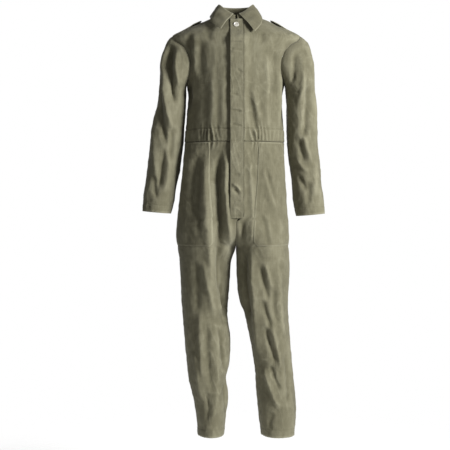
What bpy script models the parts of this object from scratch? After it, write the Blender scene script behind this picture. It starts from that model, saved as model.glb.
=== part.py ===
"""A cotton twill work coverall as it hangs when worn or put on a body form.

The suit is built of cloth panels, each a thin shell: a bodice with a concealed button fly, a shirt
collar, long sleeves, and trousers with two big patch pockets.  Heights are measured up from the leg
hems; the origin lies at the middle of the neck opening.  The front faces -Y and +Z is up.  Left and
right are the wearer's: left is +X.
"""

import math

import bmesh
import bpy
import numpy as np
from mathutils import Matrix, Vector

# Cloth and gaps
CLOTH = 0.0022
HEM_CLOTH = 0.0016
SEAM_GAP = 0.0007

# Heights above the leg hems
NECK_HEIGHT = 1.530
ARMHOLE_TOP = 1.456
ARMHOLE_BOTTOM = 1.285
PLACKET_SPLIT = 1.428
WAIST_HEIGHT = 1.0825
FLY_BOTTOM = 0.800
CROTCH_HEIGHT = 0.700
LEG_TOP = 0.582
HEM_DEPTH = 0.027

# Joints
SHOULDER_PIVOT = (0.205, 0.0, 1.345)
HIP_PIVOT_HEIGHT = 0.710
HIP_PIVOT_BACK = 0.002

# Front fly, as x limits either side of the centre
FLY_RIGHT = -0.0215
FLY_LEFT = 0.0265
FLY_FACE = 0.1165
FLY_BUTTONS = 6
NECK_DROP = 0.012

ARMHOLE_ANGLE = math.radians(32)

# Bodice sections: height, half width on the right, on the left, depth in front, depth behind
BODICE = [
    (1.0825, 0.187, 0.176, 0.1180, 0.098),
    (1.160, 0.181, 0.173, 0.1180, 0.104),
    (1.240, 0.177, 0.172, 0.1180, 0.112),
    (1.300, 0.182, 0.180, 0.1180, 0.114),
    (1.370, 0.194, 0.192, 0.1180, 0.110),
    (1.420, 0.214, 0.214, 0.1160, 0.103),
    (1.450, 0.232, 0.232, 0.1060, 0.096),
    (1.466, 0.233, 0.233, 0.0980, 0.091),
    (1.480, 0.204, 0.204, 0.0920, 0.087),
    (1.500, 0.159, 0.159, 0.0820, 0.079),
    (1.530, 0.088, 0.088, 0.0700, 0.068),
]

# Trouser sections: height, outer half width, inner edge, depth in front, depth behind
TROUSERS = {
    "right": [
        (0.000, 0.140, 0.0400, 0.070, 0.075),
        (0.062, 0.143, 0.0370, 0.072, 0.077),
        (0.135, 0.155, 0.0290, 0.075, 0.080),
        (0.208, 0.172, 0.0366, 0.079, 0.083),
        (0.355, 0.190, 0.0220, 0.088, 0.090),
        (0.501, 0.198, 0.0256, 0.097, 0.100),
        (0.647, 0.205, 0.0180, 0.109, 0.118),
        (0.700, 0.213, 0.0010, 0.114, 0.126),
        (0.735, 0.216, 0.0010, 0.117, 0.131),
        (0.867, 0.205, 0.0010, 0.118, 0.134),
        (0.980, 0.195, 0.0010, 0.118, 0.120),
        (1.0825, 0.187, 0.0010, 0.118, 0.098),
    ],
    "left": [
        (0.000, 0.215, 0.0900, 0.070, 0.075),
        (0.062, 0.219, 0.0840, 0.072, 0.077),
        (0.208, 0.208, 0.0730, 0.079, 0.083),
        (0.355, 0.197, 0.0550, 0.088, 0.090),
        (0.501, 0.190, 0.0110, 0.097, 0.100),
        (0.647, 0.194, 0.0030, 0.109, 0.118),
        (0.700, 0.191, 0.0010, 0.114, 0.126),
        (0.735, 0.190, 0.0010, 0.117, 0.131),
        (0.867, 0.180, 0.0010, 0.118, 0.134),
        (0.980, 0.177, 0.0010, 0.118, 0.120),
        (1.0825, 0.176, 0.0010, 0.118, 0.098),
    ],
}

# Sleeve sections: height, centre outwards, centre forwards, half width, half depth
SLEEVES = {
    "right": [
        (0.822, 0.289, 0.018, 0.0530, 0.050),
        (0.852, 0.285, 0.012, 0.0550, 0.052),
        (0.940, 0.271, 0.000, 0.0585, 0.058),
        (1.057, 0.254, -0.006, 0.0590, 0.064),
        (1.150, 0.244, -0.004, 0.0560, 0.067),
        (1.255, 0.235, 0.000, 0.0530, 0.070),
    ],
    "left": [
        (0.813, 0.271, 0.018, 0.0530, 0.050),
        (0.852, 0.266, 0.012, 0.0550, 0.052),
        (0.940, 0.257, 0.000, 0.0540, 0.058),
        (1.057, 0.244, -0.006, 0.0560, 0.064),
        (1.150, 0.238, -0.004, 0.0550, 0.067),
        (1.255, 0.233, 0.000, 0.0520, 0.070),
    ],
}
SLEEVE_TILT = math.radians(5)

OLIVE = (0.165, 0.155, 0.095)
OLIVE_DARK = (0.115, 0.105, 0.065)
PEARL = (0.62, 0.60, 0.54)
HORN = (0.16, 0.13, 0.08)


def sign_of(side):
    """+1 on the wearer's left, -1 on the right."""
    return 1 if side == "left" else -1


def along(table, height):
    """The row of a table of sections at a height, by smooth interpolation between its rows."""
    rows = np.array(table)
    knots = rows[:, 0]
    i = int(np.clip(np.searchsorted(knots, height) - 1, 0, len(knots) - 2))
    span = knots[i + 1] - knots[i]
    t = float(np.clip((height - knots[i]) / span, 0, 1))
    slopes = np.gradient(rows[:, 1:], knots, axis=0)
    start = (2 * t**3 - 3 * t**2 + 1) * rows[i, 1:] + (t**3 - 2 * t**2 + t) * span * slopes[i]
    end = (3 * t**2 - 2 * t**3) * rows[i + 1, 1:] + (t**3 - t**2) * span * slopes[i + 1]
    return start + end


def armhole_half_angle(height):
    """Half the armhole's width at a height, as an angle round the bodice."""
    middle = (ARMHOLE_TOP + ARMHOLE_BOTTOM) / 2
    half = (ARMHOLE_TOP - ARMHOLE_BOTTOM) / 2
    return ARMHOLE_ANGLE * math.sqrt(max(0.0, 1 - ((height - middle) / half) ** 2))


def bodice_point(side, height, angle, out=0.0):
    """A point of the bodice: angle 0 is the side seam, -90 degrees the centre front."""
    right, left, front, back = along(BODICE, height)
    width = left if side == "left" else right
    depth = front if math.sin(angle) < 0 else back
    rise = np.clip((height - ARMHOLE_TOP) / (NECK_HEIGHT - ARMHOLE_TOP), 0, 1)
    drop = NECK_DROP * rise * max(0.0, -math.sin(angle)) ** 3
    x = sign_of(side) * (width + out) * math.cos(angle)
    y = (depth + out) * math.sin(angle)
    return Vector((x, y, height - drop - NECK_HEIGHT))


def angle_at(x, centre, radius):
    """The angle on the front half of a section at which it reaches x."""
    return -math.acos(max(-1.0, min(1.0, (x - centre) / radius)))


def trouser_section(side, height):
    """Centre, half width, front and back depth of one trouser leg or half of the seat."""
    outer, inner, front, back = along(TROUSERS[side], height)
    share = np.clip((FLY_BOTTOM - height) / (FLY_BOTTOM - CROTCH_HEIGHT), 0, 1)
    if height > CROTCH_HEIGHT:
        inner = -outer * (1 - share) / (1 + share)
    return (outer + inner) / 2, (outer - inner) / 2, front, back


def trouser_point(side, height, angle, out=0.0):
    """A point of the trousers: angle 0 is the side seam, -90 degrees the front of the leg."""
    centre, radius, front, back = trouser_section(side, height)
    depth = front if math.sin(angle) < 0 else back
    x = centre + (radius + out) * math.cos(angle)
    y = (depth + out) * math.sin(angle)
    return Vector((sign_of(side) * x, y, height - NECK_HEIGHT))


def sleeve_point(side, height, angle, out=0.0):
    """A point of the sleeve: angle 0 is its outer side, -90 degrees its front."""
    centre, forward, width, depth = along(SLEEVES[side], height)
    across = (width + out) * math.cos(angle)
    x = centre + across * math.cos(SLEEVE_TILT)
    y = (depth + out) * math.sin(angle) - forward
    z = height + across * math.sin(SLEEVE_TILT) - NECK_HEIGHT
    return Vector((sign_of(side) * x, y, z))


def material(name, colour, roughness):
    """A plain material of one colour."""
    made = bpy.data.materials.new(name)
    made.use_nodes = True
    shader = made.node_tree.nodes["Principled BSDF"]
    shader.inputs["Base Color"].default_value = (*colour, 1)
    shader.inputs["Roughness"].default_value = roughness
    return made


def add_object(name, mesh, colour, roughness, origin=(0, 0, 0)):
    """An object for a mesh given in world coordinates, with its origin on its joint's axis."""
    mesh.transform(Matrix.Translation(-Vector(origin)))
    mesh.materials.append(material(name + "_material", colour, roughness))
    made = bpy.data.objects.new(name, mesh)
    made.location = origin
    parts.objects.link(made)
    return made


def cloth(name, rows, ring=False, thickness=CLOTH, colour=OLIVE, origin=(0, 0, 0), grow=-1.0):
    """A cloth piece: a loft over rows of points, given its thickness by Solidify."""
    builder = bmesh.new()
    grid = [[builder.verts.new(point) for point in row] for row in rows]
    count = len(rows[0])
    for low, high in zip(grid, grid[1:]):
        for i in range(count if ring else count - 1):
            j = (i + 1) % count
            builder.faces.new((low[i], low[j], high[j], high[i]))
    mesh = bpy.data.meshes.new(name)
    builder.to_mesh(mesh)
    builder.free()
    mesh.shade_smooth()
    made = add_object(name, mesh, colour, 0.9, origin)
    solidify = made.modifiers.new("thickness", "SOLIDIFY")
    solidify.thickness = thickness
    solidify.offset = grow
    solidify.use_even_offset = True
    return made


def strip(name, x_limits, heights, y, thickness, colour=OLIVE, origin=(0, 0, 0)):
    """A flat upright strip of cloth facing the front."""
    low, high = heights
    centre = Vector((sum(x_limits) / 2, -(y + thickness / 2), (low + high) / 2 - NECK_HEIGHT))
    builder = bmesh.new()
    bmesh.ops.create_cube(builder, size=1)
    size = (x_limits[1] - x_limits[0], thickness, high - low)
    bmesh.ops.transform(
        builder, matrix=Matrix.Translation(centre) @ Matrix.Diagonal((*size, 1)), verts=builder.verts
    )
    mesh = bpy.data.meshes.new(name)
    builder.to_mesh(mesh)
    builder.free()
    return add_object(name, mesh, colour, 0.9, origin)


def button(name, centre, normal, radius, colour):
    """A turned four-hole style button with a raised rim, lying on the cloth."""
    rise = 0.32 * radius
    profile = [
        (0, 0.6 * rise),
        (0.66 * radius, 0.6 * rise),
        (0.80 * radius, rise),
        (radius, 0.6 * rise),
        (0.90 * radius, 0),
        (0, 0),
    ]
    mesh = bpy.data.meshes.new(name)
    edges = [(i, i + 1) for i in range(len(profile) - 1)]
    mesh.from_pydata([(x, 0, z) for x, z in profile], edges, [])
    mesh.materials.append(material(name + "_material", colour, 0.35))
    made = bpy.data.objects.new(name, mesh)
    made.location = centre
    made.rotation_euler = Vector(normal).to_track_quat("Z", "Y").to_euler()
    parts.objects.link(made)
    turn = made.modifiers.new("turn", "SCREW")
    turn.steps = 14
    turn.render_steps = 14
    turn.use_merge_vertices = True
    turn.merge_threshold = 0.00005
    return made


def armhole_heights(steps):
    """Heights down the armhole, closer together at its top and bottom."""
    middle = (ARMHOLE_TOP + ARMHOLE_BOTTOM) / 2
    half = (ARMHOLE_TOP - ARMHOLE_BOTTOM) / 2
    return [middle - half * math.cos(math.pi * i / steps) for i in range(steps + 1)]


def bodice_heights():
    """The heights of the rows of a bodice panel, from waist to neck."""
    below = list(np.linspace(WAIST_HEIGHT + SEAM_GAP, ARMHOLE_BOTTOM, 4)[:-1])
    above = list(np.linspace(ARMHOLE_TOP, NECK_HEIGHT, 5)[1:])
    return below + armhole_heights(6) + above


def seam_angle(height):
    """Half the gap at a side or shoulder seam: wider where the shoulder folds over sharply."""
    return 0.014 if height > ARMHOLE_TOP - 0.012 else 0.006


def make_bodice():
    """The two front panels and the back panel."""
    for side, edge in (("right", -FLY_RIGHT), ("left", FLY_LEFT)):
        rows = []
        for height in bodice_heights():
            width = along(BODICE, height)[1 if side == "left" else 0]
            start = angle_at(edge, 0, width)
            end = -armhole_half_angle(height) - seam_angle(height)
            rows.append([bodice_point(side, height, a) for a in np.linspace(start, end, 8)])
        cloth(f"bodice_front_{side}", rows, grow=-1.0 if side == "left" else 1.0)
    rows = []
    for height in bodice_heights():
        edge = armhole_half_angle(height) + seam_angle(height)
        left = [bodice_point("left", height, a) for a in np.linspace(edge, math.pi / 2, 8)]
        right = [bodice_point("right", height, a) for a in np.linspace(math.pi / 2, edge, 8)]
        rows.append(left + right[1:])
    cloth("bodice_back", rows)


def make_sleeve(side):
    """A sleeve head that gives at the shoulder, the sleeve tube below it and its turned-up hem."""
    sign = sign_of(side)
    table = SLEEVES[side]
    top, bottom = table[-1][0], table[0][0]
    steps = 18
    middle = (ARMHOLE_TOP + ARMHOLE_BOTTOM) / 2
    half = (ARMHOLE_TOP - ARMHOLE_BOTTOM) / 2 - 0.002
    outward = Vector((sign, 0, -0.12)).normalized()
    rows = [[] for _ in range(6)]
    for i in range(steps):
        turn = 2 * math.pi * i / steps
        height = middle + half * math.cos(turn)
        angle = -(ARMHOLE_ANGLE - 0.012) * math.sin(turn)
        start = bodice_point(side, height, angle, out=0.0012)
        end = sleeve_point(side, top + SEAM_GAP, -turn)
        reach = (end - start).length
        start_arm = start + outward * 0.25 * reach
        end_arm = end + Vector((-sign * 0.08, 0, 1)) * 0.5 * reach
        for j, row in enumerate(rows):
            t = j / (len(rows) - 1)
            a, b, c, d = (1 - t) ** 3, 3 * t * (1 - t) ** 2, 3 * t**2 * (1 - t), t**3
            row.append(a * start + b * start_arm + c * end_arm + d * end)
    grow = -sign
    cloth(f"sleeve_head_{side}", rows, ring=True, origin=joint_at(side), grow=grow)
    turns = [2 * math.pi * i / steps for i in range(steps)]
    heights = np.linspace(top, bottom, 7)
    tube = [[sleeve_point(side, h, -a) for a in turns] for h in heights]
    cloth(f"sleeve_{side}", tube, ring=True, origin=joint_at(side), grow=grow)
    inset = -(CLOTH + 0.0012)
    hem = [[sleeve_point(side, h, -a, inset) for a in turns] for h in (bottom + HEM_DEPTH, bottom)]
    cloth(f"cuff_hem_{side}", hem, True, HEM_CLOTH, OLIVE_DARK, joint_at(side), grow)


def joint_at(side):
    """The shoulder pivot of one side."""
    x, y, height = SHOULDER_PIVOT
    return (sign_of(side) * x, y, height - NECK_HEIGHT)


def hip_at(side):
    """The hip pivot of one side, at the middle of the top of the leg."""
    centre = trouser_section(side, CROTCH_HEIGHT)[0]
    return (sign_of(side) * centre, HIP_PIVOT_BACK, HIP_PIVOT_HEIGHT - NECK_HEIGHT)


def seat_heights():
    """Heights of the rows of the seat, from the waist down, close together over the crotch curve."""
    waist = WAIST_HEIGHT - SEAM_GAP
    curve = [FLY_BOTTOM - 0.006, 0.770, 0.740, 0.715, CROTCH_HEIGHT]
    return list(np.linspace(waist, FLY_BOTTOM, 5)) + curve


def make_trouser_seat(side):
    """The front and back trouser panels above the crotch."""
    sign = sign_of(side)
    heights = seat_heights()
    front_rows, back_rows = [], []
    for height in heights:
        centre, radius, _, _ = trouser_section(side, height)
        edge = (FLY_LEFT if side == "left" else -FLY_RIGHT) if height > FLY_BOTTOM - 0.004 else 0.001
        gap = SEAM_GAP / 0.2
        start = max(angle_at(edge, centre, radius), -math.pi + SEAM_GAP / 0.1)
        front_rows.append([trouser_point(side, height, a) for a in np.linspace(start, -gap, 9)])
        start = -max(angle_at(0.001, centre, radius), -math.pi + SEAM_GAP / 0.1)
        back_rows.append([trouser_point(side, height, a) for a in np.linspace(start, gap, 9)])
    cloth(f"trouser_front_{side}", front_rows, grow=sign)
    cloth(f"trouser_back_{side}", back_rows, grow=-sign)


def make_leg(side):
    """The thigh that gives at the hip, the leg's front and back panels and its turned-up hem."""
    sign = sign_of(side)
    origin = hip_at(side)
    turns = [2 * math.pi * i / 18 for i in range(18)]
    heights = np.linspace(CROTCH_HEIGHT - SEAM_GAP * 2, LEG_TOP + SEAM_GAP, 4)
    thigh = [[trouser_point(side, h, -a) for a in turns] for h in heights]
    cloth(f"thigh_{side}", thigh, ring=True, origin=origin, grow=-sign)
    gap = SEAM_GAP / 0.1
    heights = np.linspace(LEG_TOP, 0.0, 8)
    front = [[trouser_point(side, h, a) for a in np.linspace(-math.pi + gap, -gap, 10)] for h in heights]
    back = [[trouser_point(side, h, a) for a in np.linspace(math.pi - gap, gap, 10)] for h in heights]
    cloth(f"leg_front_{side}", front, origin=origin, grow=sign)
    cloth(f"leg_back_{side}", back, origin=origin, grow=-sign)
    inset = -(CLOTH + 0.0014)
    hem = [[trouser_point(side, h, -a, inset) for a in turns] for h in (HEM_DEPTH, 0.0)]
    cloth(f"leg_hem_{side}", hem, True, HEM_CLOTH, OLIVE_DARK, origin, -sign)


def make_pocket(side):
    """A big patch pocket, sewn along its inner edge and bottom, open at the top and side."""
    rows = []
    top, bottom = WAIST_HEIGHT - 0.006, CROTCH_HEIGHT + 0.003
    shift = 0.022 if side == "right" else 0.0
    inner_edge = [(bottom, 0.060 + shift), (0.868, 0.070 + shift), (top, 0.080 + 0.6 * shift)]
    heights = [top] + seat_heights()[1:-1] + [bottom]
    for height in reversed(heights):
        v = (height - bottom) / (top - bottom)
        centre, radius, _, _ = trouser_section(side, height)
        start = angle_at(along(inner_edge, height)[0], centre, radius)
        row = []
        end = -0.10 - 0.30 * v
        for j in range(9):
            u = j / 8
            stand_off = 0.0012 + 0.0110 * min(1, 3 * u) * min(1, 5 * v)
            row.append(trouser_point(side, height, start * (1 - u) + end * u, stand_off))
        rows.append(row)
    cloth(f"pocket_{side}", rows, grow=sign_of(side))


def stand_height(angle):
    """Height of the collar stand: low at the centre front, full at the sides and back."""
    away = min(1.0, abs(angle + math.pi / 2) / math.radians(75))
    return 0.015 + 0.029 * (3 * away**2 - 2 * away**3)


def collar_ring(angle, share):
    """A point of the collar stand: share 0 is the neck seam, 1 its upper edge."""
    side = "left" if math.cos(angle) >= 0 else "right"
    folded = angle if side == "left" else math.pi - angle
    folded = math.atan2(math.sin(folded), math.cos(folded))
    base = bodice_point(side, NECK_HEIGHT, folded, out=-0.003)
    lean = 1 - 0.26 * share
    rise = 0.0012 + stand_height(folded) * share
    return Vector((base.x * lean, base.y * (1 - 0.14 * share), base.z + rise))


def fold_point(angle):
    """A point of the fold line, just over the upper edge of the stand."""
    edge = collar_ring(angle, 1.0)
    return Vector((edge.x * 1.05, edge.y * 1.05, edge.z + 0.0035))


def make_collar():
    """The stand, the back of the fall, and the two wings that turn up along the fold line."""
    slit = math.radians(2.5)
    angles = np.linspace(-math.pi / 2 + slit, 1.5 * math.pi - slit, 29)
    cloth("collar_stand", [[collar_ring(a, s) for a in angles] for s in (0, 0.5, 1)])
    side_angle = math.radians(-12)
    rows = [[], [], [], []]
    for angle in np.linspace(side_angle + 0.012, math.pi - side_angle - 0.012, 17):
        fold = fold_point(angle)
        backward = max(0.0, math.sin(angle))
        edge = Vector((0.099 * math.cos(angle), 0.090 * math.sin(angle), 0.006 - 0.016 * backward))
        for i, row in enumerate(rows):
            v = i / 3
            bulge = 0.005 * 4 * v * (1 - v)
            point = fold.lerp(edge, v)
            row.append(point + Vector((math.cos(angle), math.sin(angle), 0)) * bulge)
    cloth("collar_fall_back", rows, grow=1.0)
    for side, tip, front_angle in (
        ("right", Vector((-0.055, -0.112, 1.477 - NECK_HEIGHT)), -82),
        ("left", Vector((0.066, -0.112, 1.468 - NECK_HEIGHT)), -82),
    ):
        make_wing(side, tip, math.radians(front_angle), side_angle)


def wing_frame(side, front_angle, side_angle):
    """The two ends of a wing's fold line, front then side."""
    ends = []
    for angle in (front_angle, side_angle):
        ends.append(fold_point(angle if side == "left" else math.pi - angle))
    return ends


def make_wing(side, tip, front_angle, side_angle):
    """One wing of the collar, from its fold line to its point."""
    sign = sign_of(side)
    side_edge = Vector((sign * 0.097, 0.090 * math.sin(side_angle), 0.006))
    bow = Vector((sign * 0.104, -0.082, -0.024))
    rows = [[], [], [], [], []]
    for angle in np.linspace(front_angle, side_angle, 11):
        fold = fold_point(angle if side == "left" else math.pi - angle)
        u = (angle - front_angle) / (side_angle - front_angle)
        edge = (1 - u) ** 2 * tip + 2 * u * (1 - u) * bow + u**2 * side_edge
        for i, row in enumerate(rows):
            v = i / 4
            out = Vector((sign * math.cos(angle), math.sin(angle), 0.35)).normalized()
            row.append(fold.lerp(edge, v) + out * 0.006 * 4 * v * (1 - v))
    front, rear = wing_frame(side, front_angle, side_angle)
    cloth(f"collar_wing_{side}", rows, origin=(front + rear) / 2, grow=sign)


def make_epaulette(side):
    """A shoulder strap sewn in at the sleeve seam, with its loose end lifted over its button."""
    sign = sign_of(side)
    rows = []
    for i in range(8):
        u = i / 7
        x = 0.231 - 0.104 * u
        height = 1.4735 + (0.231 - x) * 0.455 + 0.0045 * u**2
        taper = 0.0225 - 0.003 * u
        if i == 7:
            taper = 0.012
        half = [Vector((sign * x, taper * s, height - NECK_HEIGHT)) for s in (-1, -0.5, 0, 0.5, 1)]
        rows.append(half)
    outer = (sign * 0.232, 0, 1.4735 - NECK_HEIGHT)
    cloth(f"epaulette_{side}", rows, origin=outer, thickness=0.0028, grow=-sign)
    normal = Vector((sign * 0.41, 0, 0.91))
    base = bodice_point(side, 1.5105, 0.0) + normal * 0.0022
    button(f"epaulette_button_{side}", base, normal, 0.0075, HORN)


def make_fly():
    """The concealed front fly: button stand, buttonhole strip, buttons, flap and top tab."""
    low = FLY_BOTTOM + 0.002
    span = (low, PLACKET_SPLIT)
    strip("button_stand", (FLY_RIGHT + 0.0006, FLY_LEFT - 0.0006), span, FLY_FACE, 0.0020)
    hole_span = (low + 0.004, PLACKET_SPLIT - 0.004)
    strip("buttonhole_strip", (-0.019, FLY_LEFT - 0.001), hole_span, FLY_FACE + 0.0024, 0.0016)
    pitch = (PLACKET_SPLIT - low - 0.08) / (FLY_BUTTONS - 1)
    for i in range(FLY_BUTTONS):
        height = PLACKET_SPLIT - 0.035 - i * pitch
        place = Vector((0.001, -(FLY_FACE + 0.0044), height - NECK_HEIGHT))
        button(f"fly_button_{i + 1}", place, (0, -1, 0), 0.0085, HORN)
    face = FLY_FACE + 0.0080
    hinge = (FLY_LEFT - 0.001, -(face + 0.0013), (low + PLACKET_SPLIT) / 2 - NECK_HEIGHT)
    strip("fly_flap", (FLY_RIGHT, FLY_LEFT - 0.001), (low, PLACKET_SPLIT), face, 0.0026, OLIVE, hinge)
    tack_face = FLY_FACE - 0.0030
    strip("fly_bartack", (-0.006, 0.006), (low - 0.0125, low - 0.0095), tack_face + 0.0052, 0.0012)
    rows = []
    for height in np.linspace(PLACKET_SPLIT + 0.0015, NECK_HEIGHT, 7):
        right_width, left_width = along(BODICE, height)[:2]
        right_edge = angle_at(-FLY_RIGHT - 0.0008, 0, right_width)
        left_edge = angle_at(FLY_LEFT - 0.0008, 0, left_width)
        row = [bodice_point("right", height, a, 0.003) for a in np.linspace(right_edge, -math.pi / 2, 4)]
        row += [bodice_point("left", height, a, 0.003) for a in np.linspace(-math.pi / 2, left_edge, 4)[1:]]
        rows.append(row)
    cloth("placket_top", rows, thickness=0.0034)
    slope = Vector((0, -0.90, 0.44)).normalized()
    under = bodice_point("left", 1.502, -math.pi / 2, 0.0034)
    button("collar_button", under + slope * 0.0006, slope, 0.0098, PEARL)


def make_waist():
    """The casing and the elastic inside the back of the waist seam."""
    heights = (WAIST_HEIGHT - 0.016, WAIST_HEIGHT, WAIST_HEIGHT + 0.016)
    for name, inset, limit, thickness, reach in (
        ("waist_elastic", 0.0050, 0.35, 0.0014, 0.012),
        ("waist_casing", 0.0078, 0.30, 0.0012, 0.016),
    ):
        rows = []
        for height in heights:
            place = WAIST_HEIGHT + (height - WAIST_HEIGHT) * reach / 0.016
            left = [bodice_point("left", place, a, -inset) for a in np.linspace(limit, math.pi / 2, 9)]
            right = [bodice_point("right", place, a, -inset) for a in np.linspace(math.pi / 2, limit, 9)]
            rows.append(left + right[1:])
        cloth(name, rows, thickness=thickness, colour=OLIVE_DARK)


for old in list(bpy.data.objects):
    bpy.data.objects.remove(old)
parts = bpy.data.collections.new("coverall")
bpy.context.scene.collection.children.link(parts)

make_bodice()
make_collar()
make_fly()
make_waist()
for wearer_side in ("right", "left"):
    make_sleeve(wearer_side)
    make_epaulette(wearer_side)
    make_trouser_seat(wearer_side)
    make_pocket(wearer_side)
    make_leg(wearer_side)
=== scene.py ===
"""Looks of a cotton twill coverall, hung as when worn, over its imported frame.

The cloth is built as fine grids of points that follow the frame's sections, with the folds that the
cloth hangs in, and is then let settle by a cloth simulation.  Heights are above the leg hems, in metres.
"""

import math

import bmesh
import bpy
import numpy as np
from mathutils import Matrix, Vector
from mathutils.bvhtree import BVHTree


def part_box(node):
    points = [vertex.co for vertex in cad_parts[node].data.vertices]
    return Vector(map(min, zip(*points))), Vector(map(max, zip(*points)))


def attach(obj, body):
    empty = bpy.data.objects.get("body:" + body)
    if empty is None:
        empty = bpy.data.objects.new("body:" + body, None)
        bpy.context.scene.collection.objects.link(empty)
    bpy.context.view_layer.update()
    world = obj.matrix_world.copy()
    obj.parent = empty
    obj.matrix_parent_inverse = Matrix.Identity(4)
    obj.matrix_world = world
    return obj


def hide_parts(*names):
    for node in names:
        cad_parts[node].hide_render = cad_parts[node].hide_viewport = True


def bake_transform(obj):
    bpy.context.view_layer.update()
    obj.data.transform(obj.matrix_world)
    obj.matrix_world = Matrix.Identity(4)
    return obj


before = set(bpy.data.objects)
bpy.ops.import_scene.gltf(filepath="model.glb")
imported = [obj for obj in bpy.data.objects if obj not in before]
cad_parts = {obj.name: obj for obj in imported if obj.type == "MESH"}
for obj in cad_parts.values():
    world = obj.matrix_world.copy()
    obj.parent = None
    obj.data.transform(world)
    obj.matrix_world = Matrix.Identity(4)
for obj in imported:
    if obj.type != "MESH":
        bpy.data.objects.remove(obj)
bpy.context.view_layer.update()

# Heights above the hems
HEM_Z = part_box("leg_front_left")[0].z
NECK = -HEM_Z
ARMHOLE_TOP = 1.465
ARMHOLE_BOTTOM = 1.285
PLACKET_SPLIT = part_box("fly_flap")[1].z - HEM_Z
FLY_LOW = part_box("fly_flap")[0].z - HEM_Z
FLY_BOTTOM = FLY_LOW - 0.002
WAIST = 1.0825
CROTCH = 0.700
HEM_DEPTH = 0.027
ARMHOLE_ANGLE = math.radians(32)
NECK_DROP = 0.012

FLY_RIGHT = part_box("fly_flap")[0].x
FLY_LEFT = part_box("fly_flap")[1].x
FLY_FRONT = -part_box("fly_flap")[0].y

CLOTH = 0.0013
STITCH_PITCH = 0.0034
STITCH_RADIUS = 0.00032
HEM_RISE = 0.012
WAIST_DROP = 0.007
CASING_RISE = 0.0445
SEAM_FADE = 0.022
SEAM_HOLD = 0.012
HELD_EVERYWHERE = 0.45
HEM_EDGE = 0.004
HEM_HELD = 0.9

# Bodice sections: height, half width right, half width left, depth in front, depth behind
BODICE = [
    (1.0825, 0.187, 0.176, 0.1165, 0.098),
    (1.120, 0.184, 0.1745, 0.1175, 0.101),
    (1.160, 0.181, 0.173, 0.1180, 0.104),
    (1.240, 0.177, 0.172, 0.1180, 0.112),
    (1.300, 0.182, 0.180, 0.1180, 0.114),
    (1.370, 0.194, 0.192, 0.1180, 0.110),
    (1.420, 0.214, 0.214, 0.1160, 0.103),
    (1.450, 0.238, 0.240, 0.1060, 0.096),
    (1.466, 0.230, 0.232, 0.0980, 0.091),
    (1.480, 0.204, 0.204, 0.0920, 0.087),
    (1.500, 0.159, 0.159, 0.0820, 0.079),
    (1.530, 0.088, 0.088, 0.0700, 0.068),
]

# Trouser sections: height, outer half width, inner edge, depth in front, depth behind
TROUSERS = {
    "right": [
        (0.000, 0.139, 0.0420, 0.070, 0.075),
        (0.062, 0.1435, 0.0370, 0.072, 0.077),
        (0.135, 0.155, 0.0290, 0.075, 0.080),
        (0.172, 0.163, 0.0315, 0.077, 0.082),
        (0.208, 0.172, 0.0375, 0.079, 0.083),
        (0.267, 0.179, 0.0256, 0.083, 0.086),
        (0.355, 0.1885, 0.0220, 0.088, 0.090),
        (0.440, 0.194, 0.0295, 0.093, 0.096),
        (0.501, 0.198, 0.0256, 0.097, 0.100),
        (0.580, 0.2015, 0.0200, 0.103, 0.108),
        (0.647, 0.206, 0.0160, 0.109, 0.118),
        (0.700, 0.213, 0.0010, 0.114, 0.126),
        (0.735, 0.216, 0.0010, 0.117, 0.131),
        (0.800, 0.211, 0.0010, 0.118, 0.134),
        (0.867, 0.205, 0.0010, 0.118, 0.134),
        (0.980, 0.195, 0.0010, 0.118, 0.120),
        (1.0825, 0.187, 0.0010, 0.1165, 0.098),
    ],
    "left": [
        (0.000, 0.214, 0.0920, 0.070, 0.075),
        (0.062, 0.2185, 0.0840, 0.072, 0.077),
        (0.135, 0.216, 0.0780, 0.075, 0.080),
        (0.208, 0.209, 0.0725, 0.079, 0.083),
        (0.267, 0.2045, 0.0665, 0.083, 0.086),
        (0.355, 0.198, 0.0530, 0.088, 0.090),
        (0.430, 0.1925, 0.0360, 0.093, 0.096),
        (0.501, 0.190, 0.0115, 0.097, 0.100),
        (0.580, 0.1935, 0.0030, 0.103, 0.108),
        (0.647, 0.194, 0.0015, 0.109, 0.118),
        (0.700, 0.191, 0.0010, 0.114, 0.126),
        (0.735, 0.190, 0.0010, 0.117, 0.131),
        (0.800, 0.184, 0.0010, 0.118, 0.134),
        (0.867, 0.181, 0.0010, 0.118, 0.134),
        (0.980, 0.177, 0.0010, 0.118, 0.120),
        (1.0825, 0.176, 0.0010, 0.1165, 0.098),
    ],
}

# Sleeve sections: height, centre outwards, centre forwards, half width, half depth
SLEEVES = {
    "right": [
        (0.822, 0.289, 0.018, 0.0510, 0.050),
        (0.852, 0.285, 0.012, 0.0545, 0.053),
        (0.940, 0.271, 0.000, 0.0585, 0.059),
        (1.057, 0.254, -0.006, 0.0590, 0.064),
        (1.150, 0.2425, -0.004, 0.0550, 0.067),
        (1.255, 0.2325, 0.000, 0.0510, 0.070),
    ],
    "left": [
        (0.813, 0.271, 0.018, 0.0510, 0.050),
        (0.852, 0.266, 0.012, 0.0545, 0.053),
        (0.940, 0.257, 0.000, 0.0545, 0.059),
        (1.057, 0.244, -0.006, 0.0560, 0.064),
        (1.150, 0.2375, -0.004, 0.0535, 0.067),
        (1.255, 0.2315, 0.000, 0.0500, 0.070),
    ],
}
SLEEVE_TILT = math.radians(5)
CAP_FULLNESS = {"left": (0.12, 0.20), "right": (0.03, 0.08)}

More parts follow.
